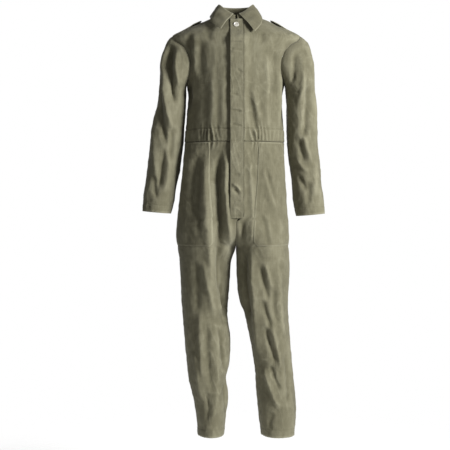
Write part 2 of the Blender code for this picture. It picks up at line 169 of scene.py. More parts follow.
# Folds: points (x, height) down the fold as seen from the front, half width, height of the ridge
FOLDS_RIGHT_TROUSER = [
    ([(-0.098, 1.060), (-0.103, 0.930), (-0.100, 0.800), (-0.093, 0.640), (-0.093, 0.480)], 0.014, 0.0085),
    ([(-0.058, 1.085), (-0.066, 0.940), (-0.060, 0.800), (-0.056, 0.650), (-0.054, 0.470)], 0.012, -0.0150),
    ([(-0.035, 1.050), (-0.038, 0.900), (-0.028, 0.780), (-0.022, 0.690)], 0.010, 0.0090),
    ([(-0.040, 0.700), (-0.036, 0.600), (-0.036, 0.500), (-0.046, 0.400)], 0.013, -0.0125),
    ([(-0.135, 1.050), (-0.150, 0.950), (-0.158, 0.870), (-0.150, 0.800)], 0.012, -0.0060),
    ([(-0.120, 0.660), (-0.104, 0.560), (-0.088, 0.500), (-0.075, 0.440)], 0.010, 0.0060),
    ([(-0.145, 0.660), (-0.138, 0.560), (-0.142, 0.460)], 0.013, -0.0050),
    ([(-0.128, 0.480), (-0.130, 0.400), (-0.125, 0.300), (-0.120, 0.210)], 0.011, 0.0060),
    ([(-0.105, 0.440), (-0.102, 0.330), (-0.095, 0.240), (-0.085, 0.160)], 0.010, -0.0050),
    ([(-0.150, 0.330), (-0.135, 0.210), (-0.118, 0.120)], 0.011, 0.0050),
    ([(-0.072, 0.330), (-0.068, 0.220), (-0.075, 0.120), (-0.090, 0.050)], 0.010, 0.0050),
    ([(-0.046, 0.570), (-0.036, 0.510), (-0.030, 0.460)], 0.006, -0.0050),
    ([(-0.052, 0.500), (-0.040, 0.440), (-0.028, 0.420)], 0.006, 0.0040),
    ([(-0.060, 0.420), (-0.046, 0.300), (-0.036, 0.235)], 0.007, -0.0080),
    ([(-0.045, 0.210), (-0.040, 0.150), (-0.034, 0.060)], 0.006, -0.0060),
    ([(-0.110, 0.180), (-0.100, 0.120), (-0.104, 0.060)], 0.008, -0.0035),
]
FOLDS_LEFT_TROUSER = [
    ([(0.040, 1.060), (0.050, 0.940), (0.057, 0.830), (0.056, 0.700)], 0.010, 0.0055),
    ([(0.028, 0.960), (0.026, 0.880), (0.022, 0.800), (0.020, 0.700)], 0.008, -0.0070),
    ([(0.056, 0.720), (0.058, 0.600), (0.066, 0.480), (0.078, 0.360), (0.090, 0.260)], 0.012, 0.0085),
    ([(0.024, 0.700), (0.026, 0.600), (0.036, 0.500), (0.050, 0.420)], 0.013, -0.0110),
    ([(0.084, 0.640), (0.096, 0.580), (0.112, 0.530), (0.120, 0.500)], 0.007, -0.0070),
    ([(0.100, 0.650), (0.116, 0.590), (0.128, 0.545)], 0.007, 0.0055),
    ([(0.092, 0.520), (0.104, 0.470), (0.118, 0.430), (0.126, 0.390)], 0.007, -0.0070),
    ([(0.104, 0.420), (0.116, 0.370), (0.130, 0.330), (0.146, 0.270)], 0.008, -0.0080),
    ([(0.118, 0.440), (0.134, 0.380), (0.148, 0.320), (0.158, 0.250)], 0.009, 0.0070),
    ([(0.150, 0.640), (0.154, 0.540), (0.162, 0.440), (0.172, 0.360)], 0.010, 0.0060),
    ([(0.134, 0.560), (0.138, 0.480), (0.150, 0.420)], 0.008, -0.0050),
    ([(0.100, 0.270), (0.118, 0.200), (0.140, 0.140), (0.160, 0.100)], 0.010, 0.0065),
    ([(0.120, 0.280), (0.140, 0.220), (0.158, 0.170)], 0.009, -0.0060),
    ([(0.176, 0.330), (0.184, 0.250), (0.190, 0.170), (0.186, 0.110)], 0.008, -0.0060),
    ([(0.130, 0.100), (0.120, 0.050), (0.124, 0.020)], 0.010, -0.0030),
]
FOLDS_BODICE = [
    ([(-0.166, 1.480), (-0.172, 1.400), (-0.176, 1.300), (-0.170, 1.180)], 0.012, -0.0080),
    ([(-0.150, 1.470), (-0.148, 1.390), (-0.150, 1.300)], 0.014, 0.0050),
    ([(-0.126, 1.450), (-0.128, 1.360), (-0.124, 1.300)], 0.012, -0.0035),
    ([(-0.086, 1.360), (-0.082, 1.220), (-0.088, 1.090)], 0.011, 0.0022),
    ([(-0.108, 1.300), (-0.112, 1.200), (-0.106, 1.090)], 0.013, -0.0018),
    ([(-0.064, 1.270), (-0.066, 1.180), (-0.070, 1.090)], 0.009, -0.0022),
    ([(-0.045, 1.360), (-0.046, 1.250), (-0.044, 1.120)], 0.011, 0.0018),
    ([(-0.150, 1.240), (-0.154, 1.160), (-0.150, 1.100)], 0.014, -0.0045),
    ([(0.040, 1.275), (0.052, 1.215), (0.064, 1.160), (0.072, 1.115)], 0.008, -0.0080),
    ([(0.054, 1.270), (0.068, 1.210), (0.082, 1.150)], 0.010, 0.0050),
    ([(0.104, 1.400), (0.112, 1.300), (0.108, 1.200), (0.112, 1.110)], 0.012, 0.0045),
    ([(0.136, 1.420), (0.140, 1.320), (0.138, 1.220)], 0.012, -0.0045),
    ([(0.170, 1.460), (0.168, 1.380), (0.160, 1.290), (0.154, 1.190), (0.152, 1.110)], 0.010, 0.0065),
    ([(0.176, 1.340), (0.172, 1.240), (0.168, 1.130)], 0.010, -0.0050),
    ([(0.092, 1.470), (0.096, 1.420)], 0.010, -0.0035),
    ([(-0.100, 1.490), (-0.096, 1.430)], 0.010, -0.0035),
]
FOLDS_RIGHT_SLEEVE = [
    ([(-0.256, 1.440), (-0.266, 1.350), (-0.262, 1.260), (-0.244, 1.170), (-0.226, 1.100)], 0.010, 0.0075),
    ([(-0.236, 1.450), (-0.244, 1.350), (-0.232, 1.270), (-0.212, 1.200)], 0.014, -0.0170),
    ([(-0.272, 1.360), (-0.280, 1.260), (-0.270, 1.150), (-0.250, 1.050)], 0.010, -0.0090),
    ([(-0.218, 1.420), (-0.218, 1.340), (-0.206, 1.270)], 0.008, 0.0060),
    ([(-0.292, 1.230), (-0.296, 1.120), (-0.292, 1.000), (-0.286, 0.930)], 0.012, 0.0065),
    ([(-0.258, 1.060), (-0.272, 0.970), (-0.280, 0.900)], 0.010, -0.0075),
    ([(-0.240, 1.040), (-0.248, 0.950), (-0.262, 0.880)], 0.009, 0.0060),
    ([(-0.300, 0.960), (-0.296, 0.910), (-0.284, 0.870)], 0.009, -0.0060),
    ([(-0.226, 1.140), (-0.232, 1.060), (-0.240, 0.990)], 0.008, -0.0050),
]
FOLDS_LEFT_SLEEVE = [
    ([(0.252, 1.440), (0.272, 1.360), (0.280, 1.260), (0.284, 1.150), (0.290, 1.040)], 0.011, 0.0075),
    ([(0.262, 1.300), (0.262, 1.220), (0.252, 1.140), (0.240, 1.080)], 0.010, -0.0095),
    ([(0.238, 1.400), (0.244, 1.330), (0.238, 1.260), (0.222, 1.200)], 0.009, 0.0070),
    ([(0.214, 1.400), (0.208, 1.330), (0.198, 1.280)], 0.009, -0.0070),
    ([(0.240, 1.110), (0.252, 1.060), (0.266, 1.020), (0.274, 0.990)], 0.007, 0.0060),
    ([(0.228, 1.090), (0.236, 1.040), (0.246, 1.000)], 0.008, -0.0070),
    ([(0.216, 1.020), (0.238, 0.985), (0.262, 0.965)], 0.006, 0.0050),
    ([(0.224, 0.960), (0.238, 0.930), (0.254, 0.900)], 0.007, -0.0060),
    ([(0.284, 1.020), (0.286, 0.940), (0.284, 0.870)], 0.010, 0.0045),
    ([(0.262, 0.940), (0.262, 0.890), (0.258, 0.850)], 0.008, -0.0045),
]

# Height that counts as a full ridge, and the depth and sharpness of the folds
RIDGE_HEIGHT = 0.0022
FOLD_DEPTH = 1.6
FOLD_CREST = 1.45


def sign_of(side):
    """+1 on the wearer's left, -1 on the right."""
    return 1 if side == "left" else -1


def along(table, heights):
    """The rows of a table of sections at some heights, smoothly interpolated."""
    rows = np.array(table, float)
    heights = np.atleast_1d(np.asarray(heights, float))
    knots = rows[:, 0]
    i = np.clip(np.searchsorted(knots, heights) - 1, 0, len(knots) - 2)
    span = (knots[i + 1] - knots[i])[:, None]
    t = np.clip((heights[:, None] - knots[i][:, None]) / span, 0, 1)
    slopes = np.gradient(rows[:, 1:], knots, axis=0)
    start = (2 * t**3 - 3 * t**2 + 1) * rows[i, 1:] + (t**3 - 2 * t**2 + t) * span * slopes[i]
    end = (3 * t**2 - 2 * t**3) * rows[i + 1, 1:] + (t**3 - t**2) * span * slopes[i + 1]
    return start + end


def smooth(x):
    """Smoothstep of an array, from 0 to 1."""
    x = np.clip(x, 0, 1)
    return x * x * (3 - 2 * x)


def spaced(low, high, pitch, fine=(), fine_pitch=0.0022, reach=0.012):
    """Heights from low to high, about a pitch apart and closer near each fine height."""
    places = [low]
    while places[-1] < high - 1e-6:
        near = min([abs(places[-1] - f) for f in fine] + [1.0])
        step = fine_pitch if near < reach else min(pitch, fine_pitch + (near - reach) * 0.5)
        places.append(min(high, places[-1] + step))
    if len(places) > 2 and places[-1] - places[-2] < 0.5 * fine_pitch:
        places.pop(-2)
    return np.array(places)


def stroke(points, line, width, height):
    """How far a fold along a line lifts each point, seen from the front."""
    line = np.array(line, float)
    flat = np.stack([points[..., 0], points[..., 2] - HEM_Z], axis=-1)
    spans = np.linalg.norm(np.diff(line, axis=0), axis=1)
    reached = np.concatenate([[0], np.cumsum(spans)])
    nearest = np.full(flat.shape[:-1], 1e9)
    share = np.zeros(flat.shape[:-1])
    for a, b, span, start in zip(line, line[1:], spans, reached):
        t = np.clip(((flat - a) @ (b - a)) / span**2, 0, 1)
        gap = np.linalg.norm(flat - (a + t[..., None] * (b - a)), axis=-1)
        closer = gap < nearest
        nearest = np.where(closer, gap, nearest)
        share = np.where(closer, (start + t * span) / reached[-1], share)
    taper = smooth(share / 0.22) * smooth((1 - share) / 0.22)
    return FOLD_DEPTH * height * taper * np.exp(-((nearest / width) ** FOLD_CREST))


def bell(distance, width):
    """A smooth bump: 1 at no distance, falling away over a width."""
    return np.exp(-((distance / width) ** 2))


def waves(points, seed, scale, stretch=1.0, count=24):
    """A smooth random field in space, about -1 to 1, longer up and down by stretch."""
    rng = np.random.default_rng(seed)
    field = np.zeros(points.shape[:-1])
    for _ in range(count):
        way = rng.normal(size=3)
        way *= rng.uniform(0.6, 1.7) * 2 * math.pi / scale / np.linalg.norm(way)
        field += np.sin(points @ (way / (1, 1, stretch)) + rng.uniform(0, 2 * math.pi))
    return field / math.sqrt(count / 2) / 1.6


def lengths(points):
    """Cloth coordinates of a grid: metres round from its middle column, metres down from its top."""
    across = np.linalg.norm(np.diff(points, axis=1), axis=2)
    u = np.concatenate([np.zeros((len(points), 1)), np.cumsum(across, axis=1)], axis=1)
    u -= u[:, [points.shape[1] // 2]]
    middle = points[:, points.shape[1] // 2]
    v = np.concatenate([[0], np.cumsum(np.linalg.norm(np.diff(middle, axis=0), axis=1))])
    return u, np.repeat(v[:, None], points.shape[1], axis=1)


class Cloth:
    """A cloth piece: grids of points, sewn into one mesh where their edges meet."""

    def __init__(self, name, grids, middle=None, coords=None):
        self.name = name
        self.shapes = [grid.shape[:2] for grid in grids]
        every = np.concatenate([grid.reshape(-1, 3) for grid in grids])
        _, first, inverse = np.unique(
            np.round(every * 1e5).astype(int), axis=0, return_index=True, return_inverse=True
        )
        self.points = every[first]
        inverse = inverse.reshape(-1)
        self.index, start = [], 0
        for rows, cols in self.shapes:
            self.index.append(inverse[start : start + rows * cols].reshape(rows, cols))
            start += rows * cols
        self.coords = coords or [np.stack(lengths(grid), axis=-1) for grid in grids]
        quads, corners = [], []
        for index, coords in zip(self.index, self.coords):
            cells = [
                (slice(None, -1), slice(None, -1)),
                (slice(1, None), slice(None, -1)),
                (slice(1, None), slice(1, None)),
                (slice(None, -1), slice(1, None)),
            ]
            squares = np.stack([index[c] for c in cells], axis=-1).reshape(-1, 4)
            places = np.stack([coords[c] for c in cells], axis=-2).reshape(-1, 4, 2)
            distinct = np.array([len(set(q)) == 4 for q in squares.tolist()])
            squares, places = squares[distinct], places[distinct]
            face = self.points[squares]
            turn = np.cross(face[:, 2] - face[:, 0], face[:, 3] - face[:, 1])
            centre = face.mean(axis=1)
            axis = np.zeros_like(centre) if middle is None else middle(centre)
            if (turn[:, :2] * (centre - axis)[:, :2]).sum() < 0:
                squares, places = squares[:, ::-1], places[:, ::-1]
            quads.append(squares)
            corners.append(places)
        self.quads, self.corners = np.concatenate(quads), np.concatenate(corners)
        self.normals = self.vertex_normals()

    def vertex_normals(self):
        """Unit normals of the sewn points."""
        face = self.points[self.quads]
        turn = np.cross(face[:, 2] - face[:, 0], face[:, 3] - face[:, 1])
        total = np.zeros_like(self.points)
        for corner in range(4):
            np.add.at(total, self.quads[:, corner], turn)
        return total / np.maximum(np.linalg.norm(total, axis=1, keepdims=True), 1e-12)

    def lift(self, amount):
        """Moves the points along their normals."""
        self.points = self.points + self.normals * np.asarray(amount)[..., None]
        self.normals = self.vertex_normals()

    def grid(self, number=0):
        """The points of one grid, as rows and columns."""
        return self.points[self.index[number]]

    def edge(self, rows=None, cols=None):
        """Closely spaced points along one row or column of the first grid."""
        return loop_points(self.grid(), rows, cols)

    def grid_normals(self, number=0):
        """The normals of one grid, as rows and columns."""
        return self.normals[self.index[number]]

    def smoothed(self, values, times):
        """Values at the points, evened out over their neighbours."""
        edges = np.concatenate([self.quads[:, [i, (i + 1) % 4]] for i in range(4)])
        count = np.bincount(edges.ravel(), minlength=len(self.points)).astype(float)
        flat = values.reshape(len(self.points), -1)
        for _ in range(times):
            total = np.zeros_like(flat)
            np.add.at(total, edges[:, 0], flat[edges[:, 1]])
            np.add.at(total, edges[:, 1], flat[edges[:, 0]])
            flat = 0.5 * flat + 0.5 * total / count[:, None]
        return flat.reshape(values.shape)

    def turn_over(self):
        """Turns the faces and normals the other way."""
        self.quads, self.corners = self.quads[:, ::-1], self.corners[:, ::-1]
        self.normals = -self.normals

    def build(self, wear=None):
        """Makes the mesh object, with cloth coordinates as its UV map, and ridges and wear marked; the ridge
        mark paints light on the crests and shade in the hollows.
        """
        mesh = bpy.data.meshes.new(self.name)
        mesh.from_pydata(self.points.tolist(), [], self.quads.tolist())
        layer = mesh.uv_layers.new(name="cloth")
        layer.data.foreach_set("uv", self.corners.reshape(-1).astype(np.float32))
        # The ridge mark is how far each point stands out from its neighbours. The twill paints raised cloth
        # lighter, partly as faded cloth and partly as painted light, and paints hollows darker as painted
        # shade.
        height = ((self.points - self.smoothed(self.points, 6)) * self.normals).sum(axis=1)
        ridge = self.smoothed(np.clip(height / RIDGE_HEIGHT, -1, 1), 2)
        rubbed = np.zeros(len(ridge)) if wear is None else wear
        for name, values in (("ridge", ridge), ("wear", rubbed)):
            attribute = mesh.attributes.new(name, "FLOAT", "POINT")
            attribute.data.foreach_set("value", values.astype(np.float32))
        mesh.materials.append(OLIVE)
        # The second slot, for the inner faces, holds the darker copy of the twill: painted shade.
        mesh.materials.append(INSIDE)
        piece = bpy.data.objects.new(self.name, mesh)
        bpy.context.scene.collection.objects.link(piece)
        return piece


def finish_mesh(piece, *modifiers):
    """Applies a list of (type, settings) modifiers to a piece."""
    for kind, settings in modifiers:
        made = piece.modifiers.new(kind.lower(), kind)
        for key, value in settings.items():
            setattr(made, key, value)
    graph = bpy.context.evaluated_depsgraph_get()
    graph.update()
    mesh = bpy.data.meshes.new_from_object(piece.evaluated_get(graph))
    piece.modifiers.clear()
    piece.data = mesh
    return piece


# Bodice -------------------------------------------------------------------------------------------


def armhole_half_angle(heights):
    """Half the armhole's width at each height, as an angle round the bodice."""
    middle = (ARMHOLE_TOP + ARMHOLE_BOTTOM) / 2
    half = (ARMHOLE_TOP - ARMHOLE_BOTTOM) / 2
    return ARMHOLE_ANGLE * np.sqrt(np.clip(1 - ((heights - middle) / half) ** 2, 0, 1))


def bodice_surface(side, heights, angles):
    """Points of the bodice: angle 0 is the side seam, -90 degrees the centre front."""
    right, left, front, back = along(BODICE, heights).T
    width = left if side == "left" else right
    sine = np.sin(angles)
    depth = np.where(sine < 0, front.reshape(-1, 1), back.reshape(-1, 1))
    rise = np.clip((heights - ARMHOLE_TOP) / (NECK - ARMHOLE_TOP), 0, 1).reshape(-1, 1)
    drop = NECK_DROP * rise * np.clip(-sine, 0, 1) ** 3
    x = sign_of(side) * width.reshape(-1, 1) * np.cos(angles)
    y = depth * sine
    z = heights.reshape(-1, 1) - drop + HEM_Z + np.zeros_like(x)
    return np.stack([x, y, z], axis=-1)


def bodice_rows():
    """Heights of the bodice's rows, close together at the waist and at the armhole's ends."""
    low = spaced(WAIST, ARMHOLE_BOTTOM, 0.008, [WAIST, WAIST + CASING_RISE], 0.0022, 0.007)
    steps = 26
    turn = np.pi * np.arange(1, steps) / steps
    hole = (ARMHOLE_TOP + ARMHOLE_BOTTOM) / 2 - (ARMHOLE_TOP - ARMHOLE_BOTTOM) / 2 * np.cos(turn)
    high = np.linspace(ARMHOLE_TOP, NECK, 12)
    return np.concatenate([low, hole, high])[::-1]


def make_bodice():
    """The two fronts and the back, sewn at the side and shoulder seams."""
    heights = bodice_rows()
    hole = armhole_half_angle(heights)
    cols = 30
    share = np.linspace(0, 1, cols)
    grids, coords = [], []
    for side, edge in (("left", FLY_LEFT + 0.0004), ("right", 0.0110)):
        right, left = along(BODICE, heights).T[:2]
        width = left if side == "left" else right
        start = np.arccos(np.clip(edge / width, -1, 1))
        front = -(start[:, None] * (1 - share) + hole[:, None] * share)
        back = math.pi / 2 * (1 - share) + hole[:, None] * share
        for angles in (front, back):
            grids.append(bodice_surface(side, heights, angles))
            down = NECK - heights[:, None] + np.zeros_like(angles)
            coords.append(np.stack([0.165 * angles, down], axis=-1))
    cloth = Cloth("bodice", grids, coords=coords)
    cloth.heights = heights
    cloth.hole_rows = np.flatnonzero(hole > 1e-6)
    return cloth


# Trousers -----------------------------------------------------------------------------------------


def trouser_sections(side, heights):
    """Centre, half width and depths of a trouser leg, or of half of the seat, at some heights."""
    outer, inner, front, back = along(TROUSERS[side], heights).T
    share = np.clip((FLY_BOTTOM - heights) / (FLY_BOTTOM - CROTCH), 0, 1)
    inner = np.where(heights > CROTCH, -outer * (1 - share) / (1 + share), inner)
    return (outer + inner) / 2, (outer - inner) / 2, front, back


def front_angle(side, heights):
    """How far round from the side seam the front panel reaches, at some heights."""
    centre, radius = trouser_sections(side, heights)[:2]
    edge = (FLY_LEFT + 0.0004 if side == "left" else -0.0110) * smooth((heights - FLY_BOTTOM + 0.006) / 0.006)
    reached = np.arccos(np.clip((edge - centre) / radius, -1, 1))
    return np.where(heights <= CROTCH, math.pi, reached)


def make_trousers(side):
    """One half of the trousers, from centre front round the leg to centre back."""
    fine = [WAIST, HEM_DEPTH]
    heights = spaced(0.0, WAIST, 0.0085, fine, 0.0022, 0.006)[::-1]
    centre, radius, front, back = (a[:, None] for a in trouser_sections(side, heights))
    meets = np.arccos(np.clip(-centre / radius, -1, 1))
    meets = np.where(heights[:, None] <= CROTCH, math.pi, meets)
    start = front_angle(side, heights)[:, None]
    share = np.linspace(-1, 1, 89)[None, :]
    angles = np.where(share < 0, start, meets) * share
    depth = np.where(angles < 0, front, back)
    x = sign_of(side) * (centre + radius * np.cos(angles))
    y = depth * np.sin(angles)
    z = heights[:, None] + HEM_Z + np.zeros_like(x)
    grid = np.stack([x, y, z], axis=-1)

    def middle(points):
        c = np.interp(points[:, 2] - HEM_Z, heights[::-1], centre[::-1, 0])
        return np.stack([sign_of(side) * c, np.zeros(len(c)), points[:, 2]], axis=-1)

    cloth = Cloth(f"trousers_{side}", [grid], middle)
    cloth.heights = heights
    cloth.front_angle = lambda places: front_angle(side, places)
    return cloth


# Sleeves ------------------------------------------------------------------------------------------


def sleeve_ring(side, heights, angles, out=0.0):
    """Points of the sleeve: angle 0 is its outer side, -90 degrees its front."""
    centre, forward, width, depth = (a[:, None] for a in along(SLEEVES[side], heights).T)
    across = (width + out) * np.cos(angles)
    x = sign_of(side) * (centre + across * math.cos(SLEEVE_TILT))
    y = (depth + out) * np.sin(angles) - forward
    z = heights[:, None] + across * math.sin(SLEEVE_TILT) + HEM_Z
    return np.stack([x, y, z + np.zeros_like(x)], axis=-1)


def make_sleeve(side):
    """A sleeve: its head from the armhole seam, then the tube down to the cuff."""
    sign = sign_of(side)
    table = SLEEVES[side]
    top, bottom = table[-1][0], table[0][0]
    turn = np.linspace(0, 2 * math.pi, 55)
    middle_height = (ARMHOLE_TOP + ARMHOLE_BOTTOM) / 2
    half = (ARMHOLE_TOP - ARMHOLE_BOTTOM) / 2
    heights = middle_height + half * np.cos(turn)
    start = []
    for height, place in zip(heights, turn):
        angle = np.array([[-ARMHOLE_ANGLE * math.sin(place)]])
        start.append(bodice_surface(side, np.array([height]), angle)[0, 0])
    start = np.stack(start)
    end = sleeve_ring(side, np.array([top]), -turn[None, :])[0]
    reach = np.linalg.norm(end - start, axis=1, keepdims=True)
    upper = (0.5 + 0.5 * np.cos(turn))[:, None]
    leave = np.array([sign, 0, 0]) * (1 - 0.35 * (1 - upper)) + np.array([0, 0, -1]) * (0.1 + 0.5 * upper**2)
    leave = leave + np.array([0, 1, 0]) * (-0.75 * np.sin(turn)[:, None])
    leaving, arriving = CAP_FULLNESS[side]
    start_arm = start + leave * (0.16 + leaving * upper) * reach
    end_arm = end + np.array([-sign * 0.08, 0, 1]) * (0.34 + arriving * upper) * reach
    t = np.linspace(0, 1, 27)[:, None, None]
    head = (1 - t) ** 3 * start + 3 * t * (1 - t) ** 2 * start_arm + 3 * t**2 * (1 - t) * end_arm + t**3 * end
    tube_heights = spaced(bottom, top, 0.0085, [bottom + HEM_DEPTH], 0.0022, 0.006)[::-1]
    tube = sleeve_ring(side, tube_heights, -turn[None, :] + np.zeros((len(tube_heights), 1)))
    grid = np.concatenate([head, tube[1:]])
    grid[:, -1] = grid[:, 0]
    table_heights = np.array([row[0] for row in table])
    table_centres = np.array([row[1] for row in table])

    def middle(points):
        c = np.interp(points[:, 2] - HEM_Z, table_heights, table_centres)
        return np.stack([sign * c, np.zeros(len(c)), points[:, 2]], axis=-1)

    centre = np.interp(grid[..., 2] - HEM_Z, table_heights, table_centres)
    outwards = sign * grid[..., 0] - centre
    angle = np.arccos(outwards / np.maximum(np.hypot(outwards, grid[..., 1]), 1e-6))
    around = 0.056 * np.where(turn[None, :] <= math.pi, angle, 2 * math.pi - angle)
    coords = [np.stack([around, NECK + HEM_Z - grid[..., 2]], axis=-1)]
    cloth = Cloth(f"sleeve_{side}_cloth", [grid], middle, coords)
    cloth.from_cuff = tube_heights[::-1] - bottom
    tilt = (cloth.points[:, 0] * sign - table_centres[0]) * math.tan(SLEEVE_TILT)
    cloth.cuff_distance = cloth.points[:, 2] - HEM_Z - bottom - tilt
    return cloth


# Folds and settling --------------------------------------------------------------------------------


def loop_points(grid, rows=None, cols=None):
    """Points along one row or column of a grid, closely spaced."""
    line = grid[rows] if rows is not None else grid[:, cols]
    t = np.linspace(0, len(line) - 1, 4 * len(line))
    i = np.minimum(t.astype(int), len(line) - 2)
    f = (t - i)[:, None]
    return line[i] * (1 - f) + line[i + 1] * f


def away_from(points, lines, reach):
    """0 on the lines, rising smoothly to 1 at the reach from them."""
    nearest = np.full(len(points), 1e9)
    for line in lines:
        for part in np.array_split(np.arange(len(points)), 1 + len(points) * len(line) // 4_000_000):
            gap = np.linalg.norm(points[part, None, :] - line[None, :, :], axis=2).min(axis=1)
            nearest[part] = np.minimum(nearest[part], gap)
    return smooth(nearest / reach)


def fold_lift(cloth, front_folds, back_folds):
    """How far the folds of the front and the back lift each point of a piece."""
    lift = np.zeros(len(cloth.points))
    for folds, sign in ((front_folds, -1), (back_folds, 1)):
        facing = smooth(sign * cloth.normals[:, 1] / 0.5 + 0.35)
        for line, width, height in folds:
            lift += facing * stroke(cloth.points, line, width, height)
    return lift


def mirrored(folds, centre_of, centre_to, share=0.85):
    """Folds of one side's piece carried to the back of the other side's."""
    moved = []
    for line, width, height in folds:
        path = []
        for x, h in line:
            path.append((centre_to(h) - (x - centre_of(h)) * 0.95, h - 0.035))
        moved.append((path, width * 1.15, height * share))
    return moved


def settle(cloth, pinned, shrink=-0.02, frames=16, cap=0.005, seed=1):
    """Lets a piece hang and crease by a cloth simulation, held at its seams and near its shape."""
    mesh = bpy.data.meshes.new("settling")
    rng = np.random.default_rng(seed)
    start = cloth.points + cloth.normals * rng.normal(0, 0.00015, len(cloth.points))[:, None]
    mesh.from_pydata(start.tolist(), [], cloth.quads.tolist())
    piece = bpy.data.objects.new("settling", mesh)
    bpy.context.scene.collection.objects.link(piece)
    group = piece.vertex_groups.new(name="held")
    for i, weight in enumerate(pinned):
        group.add([i], float(weight), "REPLACE")
    cloth_modifier = piece.modifiers.new("cloth", "CLOTH")
    settings = cloth_modifier.settings
    settings.quality = 6
    settings.mass = 0.15
    settings.air_damping = 4.0
    settings.tension_stiffness = 25.0
    settings.compression_stiffness = 25.0
    settings.shear_stiffness = 8.0
    settings.bending_stiffness = 1.5
    settings.bending_model = "ANGULAR"
    settings.vertex_group_mass = "held"
    settings.pin_stiffness = 0.35
    settings.shrink_min = shrink
    settings.shrink_max = shrink
    settings.effector_weights.gravity = 0.25
    cloth_modifier.collision_settings.use_self_collision = False
    cloth_modifier.point_cache.frame_start = 1
    cloth_modifier.point_cache.frame_end = frames
    scene = bpy.context.scene
    for frame_number in range(1, frames + 1):
        scene.frame_set(frame_number)
    graph = bpy.context.evaluated_depsgraph_get()
    shape = piece.evaluated_get(graph).data
    ended = np.empty(len(shape.vertices) * 3)
    shape.vertices.foreach_get("co", ended)
    scene.frame_set(1)
    bpy.data.objects.remove(piece)
    move = ended.reshape(-1, 3) - cloth.points
    length = np.linalg.norm(move, axis=1, keepdims=True)
    move *= cap * np.tanh(length / cap) / np.maximum(length, 1e-9)
    move *= (1 - np.asarray(pinned) ** 4)[:, None]
    cloth.points = cloth.points + cloth.smoothed(move, 1)
    cloth.normals = cloth.vertex_normals()


# Surfaces of finished pieces -----------------------------------------------------------------------


def surface_of(*pieces):
    """A search tree over the faces of finished pieces."""
    points, faces = [], []
    for piece in pieces:
        start = len(points)
        points += [v.co.copy() for v in piece.data.vertices]
        faces += [[start + i for i in polygon.vertices] for polygon in piece.data.polygons]
    return BVHTree.FromPolygons(points, faces)


def onto(surface, points, normals, reach=0.004):
    """Points moved on to the outside of a surface, with the surface's normals there."""
    placed, turned = [], []
    for point, normal in zip(points, normals):
        out = Vector(normal)
        hit, facing, _, _ = surface.ray_cast(Vector(point) + out * reach, -out, 3 * reach)
        if hit is None:
            hit, facing, _, _ = surface.find_nearest(Vector(point) + out * reach)
        placed.append(hit)
        turned.append(facing)
    return np.array(placed), np.array(turned)


def resampled(line, pitch):
    """Points a pitch apart along a line of points, and their directions."""
    spans = np.linalg.norm(np.diff(line, axis=0), axis=1)
    reached = np.concatenate([[0], np.cumsum(spans)])
    count = max(2, int(reached[-1] / pitch))
    at = (np.arange(count) + 0.5) * reached[-1] / count
    points = np.stack([np.interp(at, reached, line[:, k]) for k in range(3)], axis=1)
    ahead = np.stack([np.interp(at + 0.0005, reached, line[:, k]) for k in range(3)], axis=1)
    behind = np.stack([np.interp(at - 0.0005, reached, line[:, k]) for k in range(3)], axis=1)
    way = ahead - behind
    return points, way / np.maximum(np.linalg.norm(way, axis=1, keepdims=True), 1e-9)


def stitch_template():
    """One stitch lying along x: a short rounded thread that dips into the cloth at both ends."""
    profile = [(-0.5, 0.45, -0.7), (-0.34, 1.0, 0.25), (0.34, 1.0, 0.25), (0.5, 0.45, -0.7)]
    points = []
    for place, size, rise in profile:
        for k in range(5):
            turn = 2 * math.pi * k / 5
            points.append((place, size * math.cos(turn), rise + size * math.sin(turn)))
    faces = []
    for ring in range(3):
        for k in range(5):
            a, b = ring * 5 + k, ring * 5 + (k + 1) % 5
            faces.append((a, a + 5, b + 5, b))
    faces.append((4, 3, 2, 1, 0))
    faces.append((15, 16, 17, 18, 19))
    faces = [face[::-1] for face in faces]
    return np.array(points), faces


def stitching(name, surface, rows, pitch=STITCH_PITCH, radius=STITCH_RADIUS):
    """A piece of thread: rows of stitches, each row a (points, normals) pair lying on a surface."""
    template, faces = stitch_template()
    points, polygons = [], []
    for line, normals in rows:
        centres, ways = resampled(np.asarray(line), pitch)
        guides = resampled_like(np.asarray(line), np.asarray(normals), centres)
        centres, guides = onto(surface, centres, guides)
        for centre, way, up in zip(centres, ways, guides):
            across = np.cross(up, way)
            across /= max(np.linalg.norm(across), 1e-9)
            along_way = np.cross(across, up)
            frame_axes = np.stack([along_way * pitch * 0.74, across * radius, up * radius])
            polygons += [tuple(len(points) * 20 + i for i in face) for face in faces]
            points.append(centre + template @ frame_axes)
    mesh = bpy.data.meshes.new(name)
    mesh.from_pydata(np.concatenate(points).tolist(), [], polygons)
    mesh.shade_smooth()
    mesh.materials.append(THREAD)
    made = bpy.data.objects.new(name, mesh)
    bpy.context.scene.collection.objects.link(made)
    return made


def resampled_like(line, values, centres):
    """The values given along a line, at the places nearest to some centres."""
    gaps = np.linalg.norm(centres[:, None, :] - line[None, :, :], axis=2)
    return values[gaps.argmin(axis=1)]


def trace(cloth, places, number=0, out=0.0):
    """Points and normals of a piece's grid at fractional (row, column) places."""
    grid, normals = cloth.grid(number), cloth.grid_normals(number)
    places = np.asarray(places, float)
    row = np.clip(places[..., 0], 0, grid.shape[0] - 1.001)
    col = np.clip(places[..., 1], 0, grid.shape[1] - 1.001)
    r, c = row.astype(int), col.astype(int)
    fr, fc = (row - r)[..., None], (col - c)[..., None]

    def blended(values):
        top = values[r, c] * (1 - fc) + values[r, c + 1] * fc
        low = values[r + 1, c] * (1 - fc) + values[r + 1, c + 1] * fc
        return top * (1 - fr) + low * fr

    normal = blended(normals)
    normal /= np.maximum(np.linalg.norm(normal, axis=-1, keepdims=True), 1e-9)
    return blended(grid) + normal * out, normal


# Materials -----------------------------------------------------------------------------------------


def trace_at(cloth, rows, cols, number=0):
    """Traces a line on a piece, given by its places along the rows and the columns of a grid."""
    return trace(cloth, np.stack(np.broadcast_arrays(rows, cols), axis=-1), number)


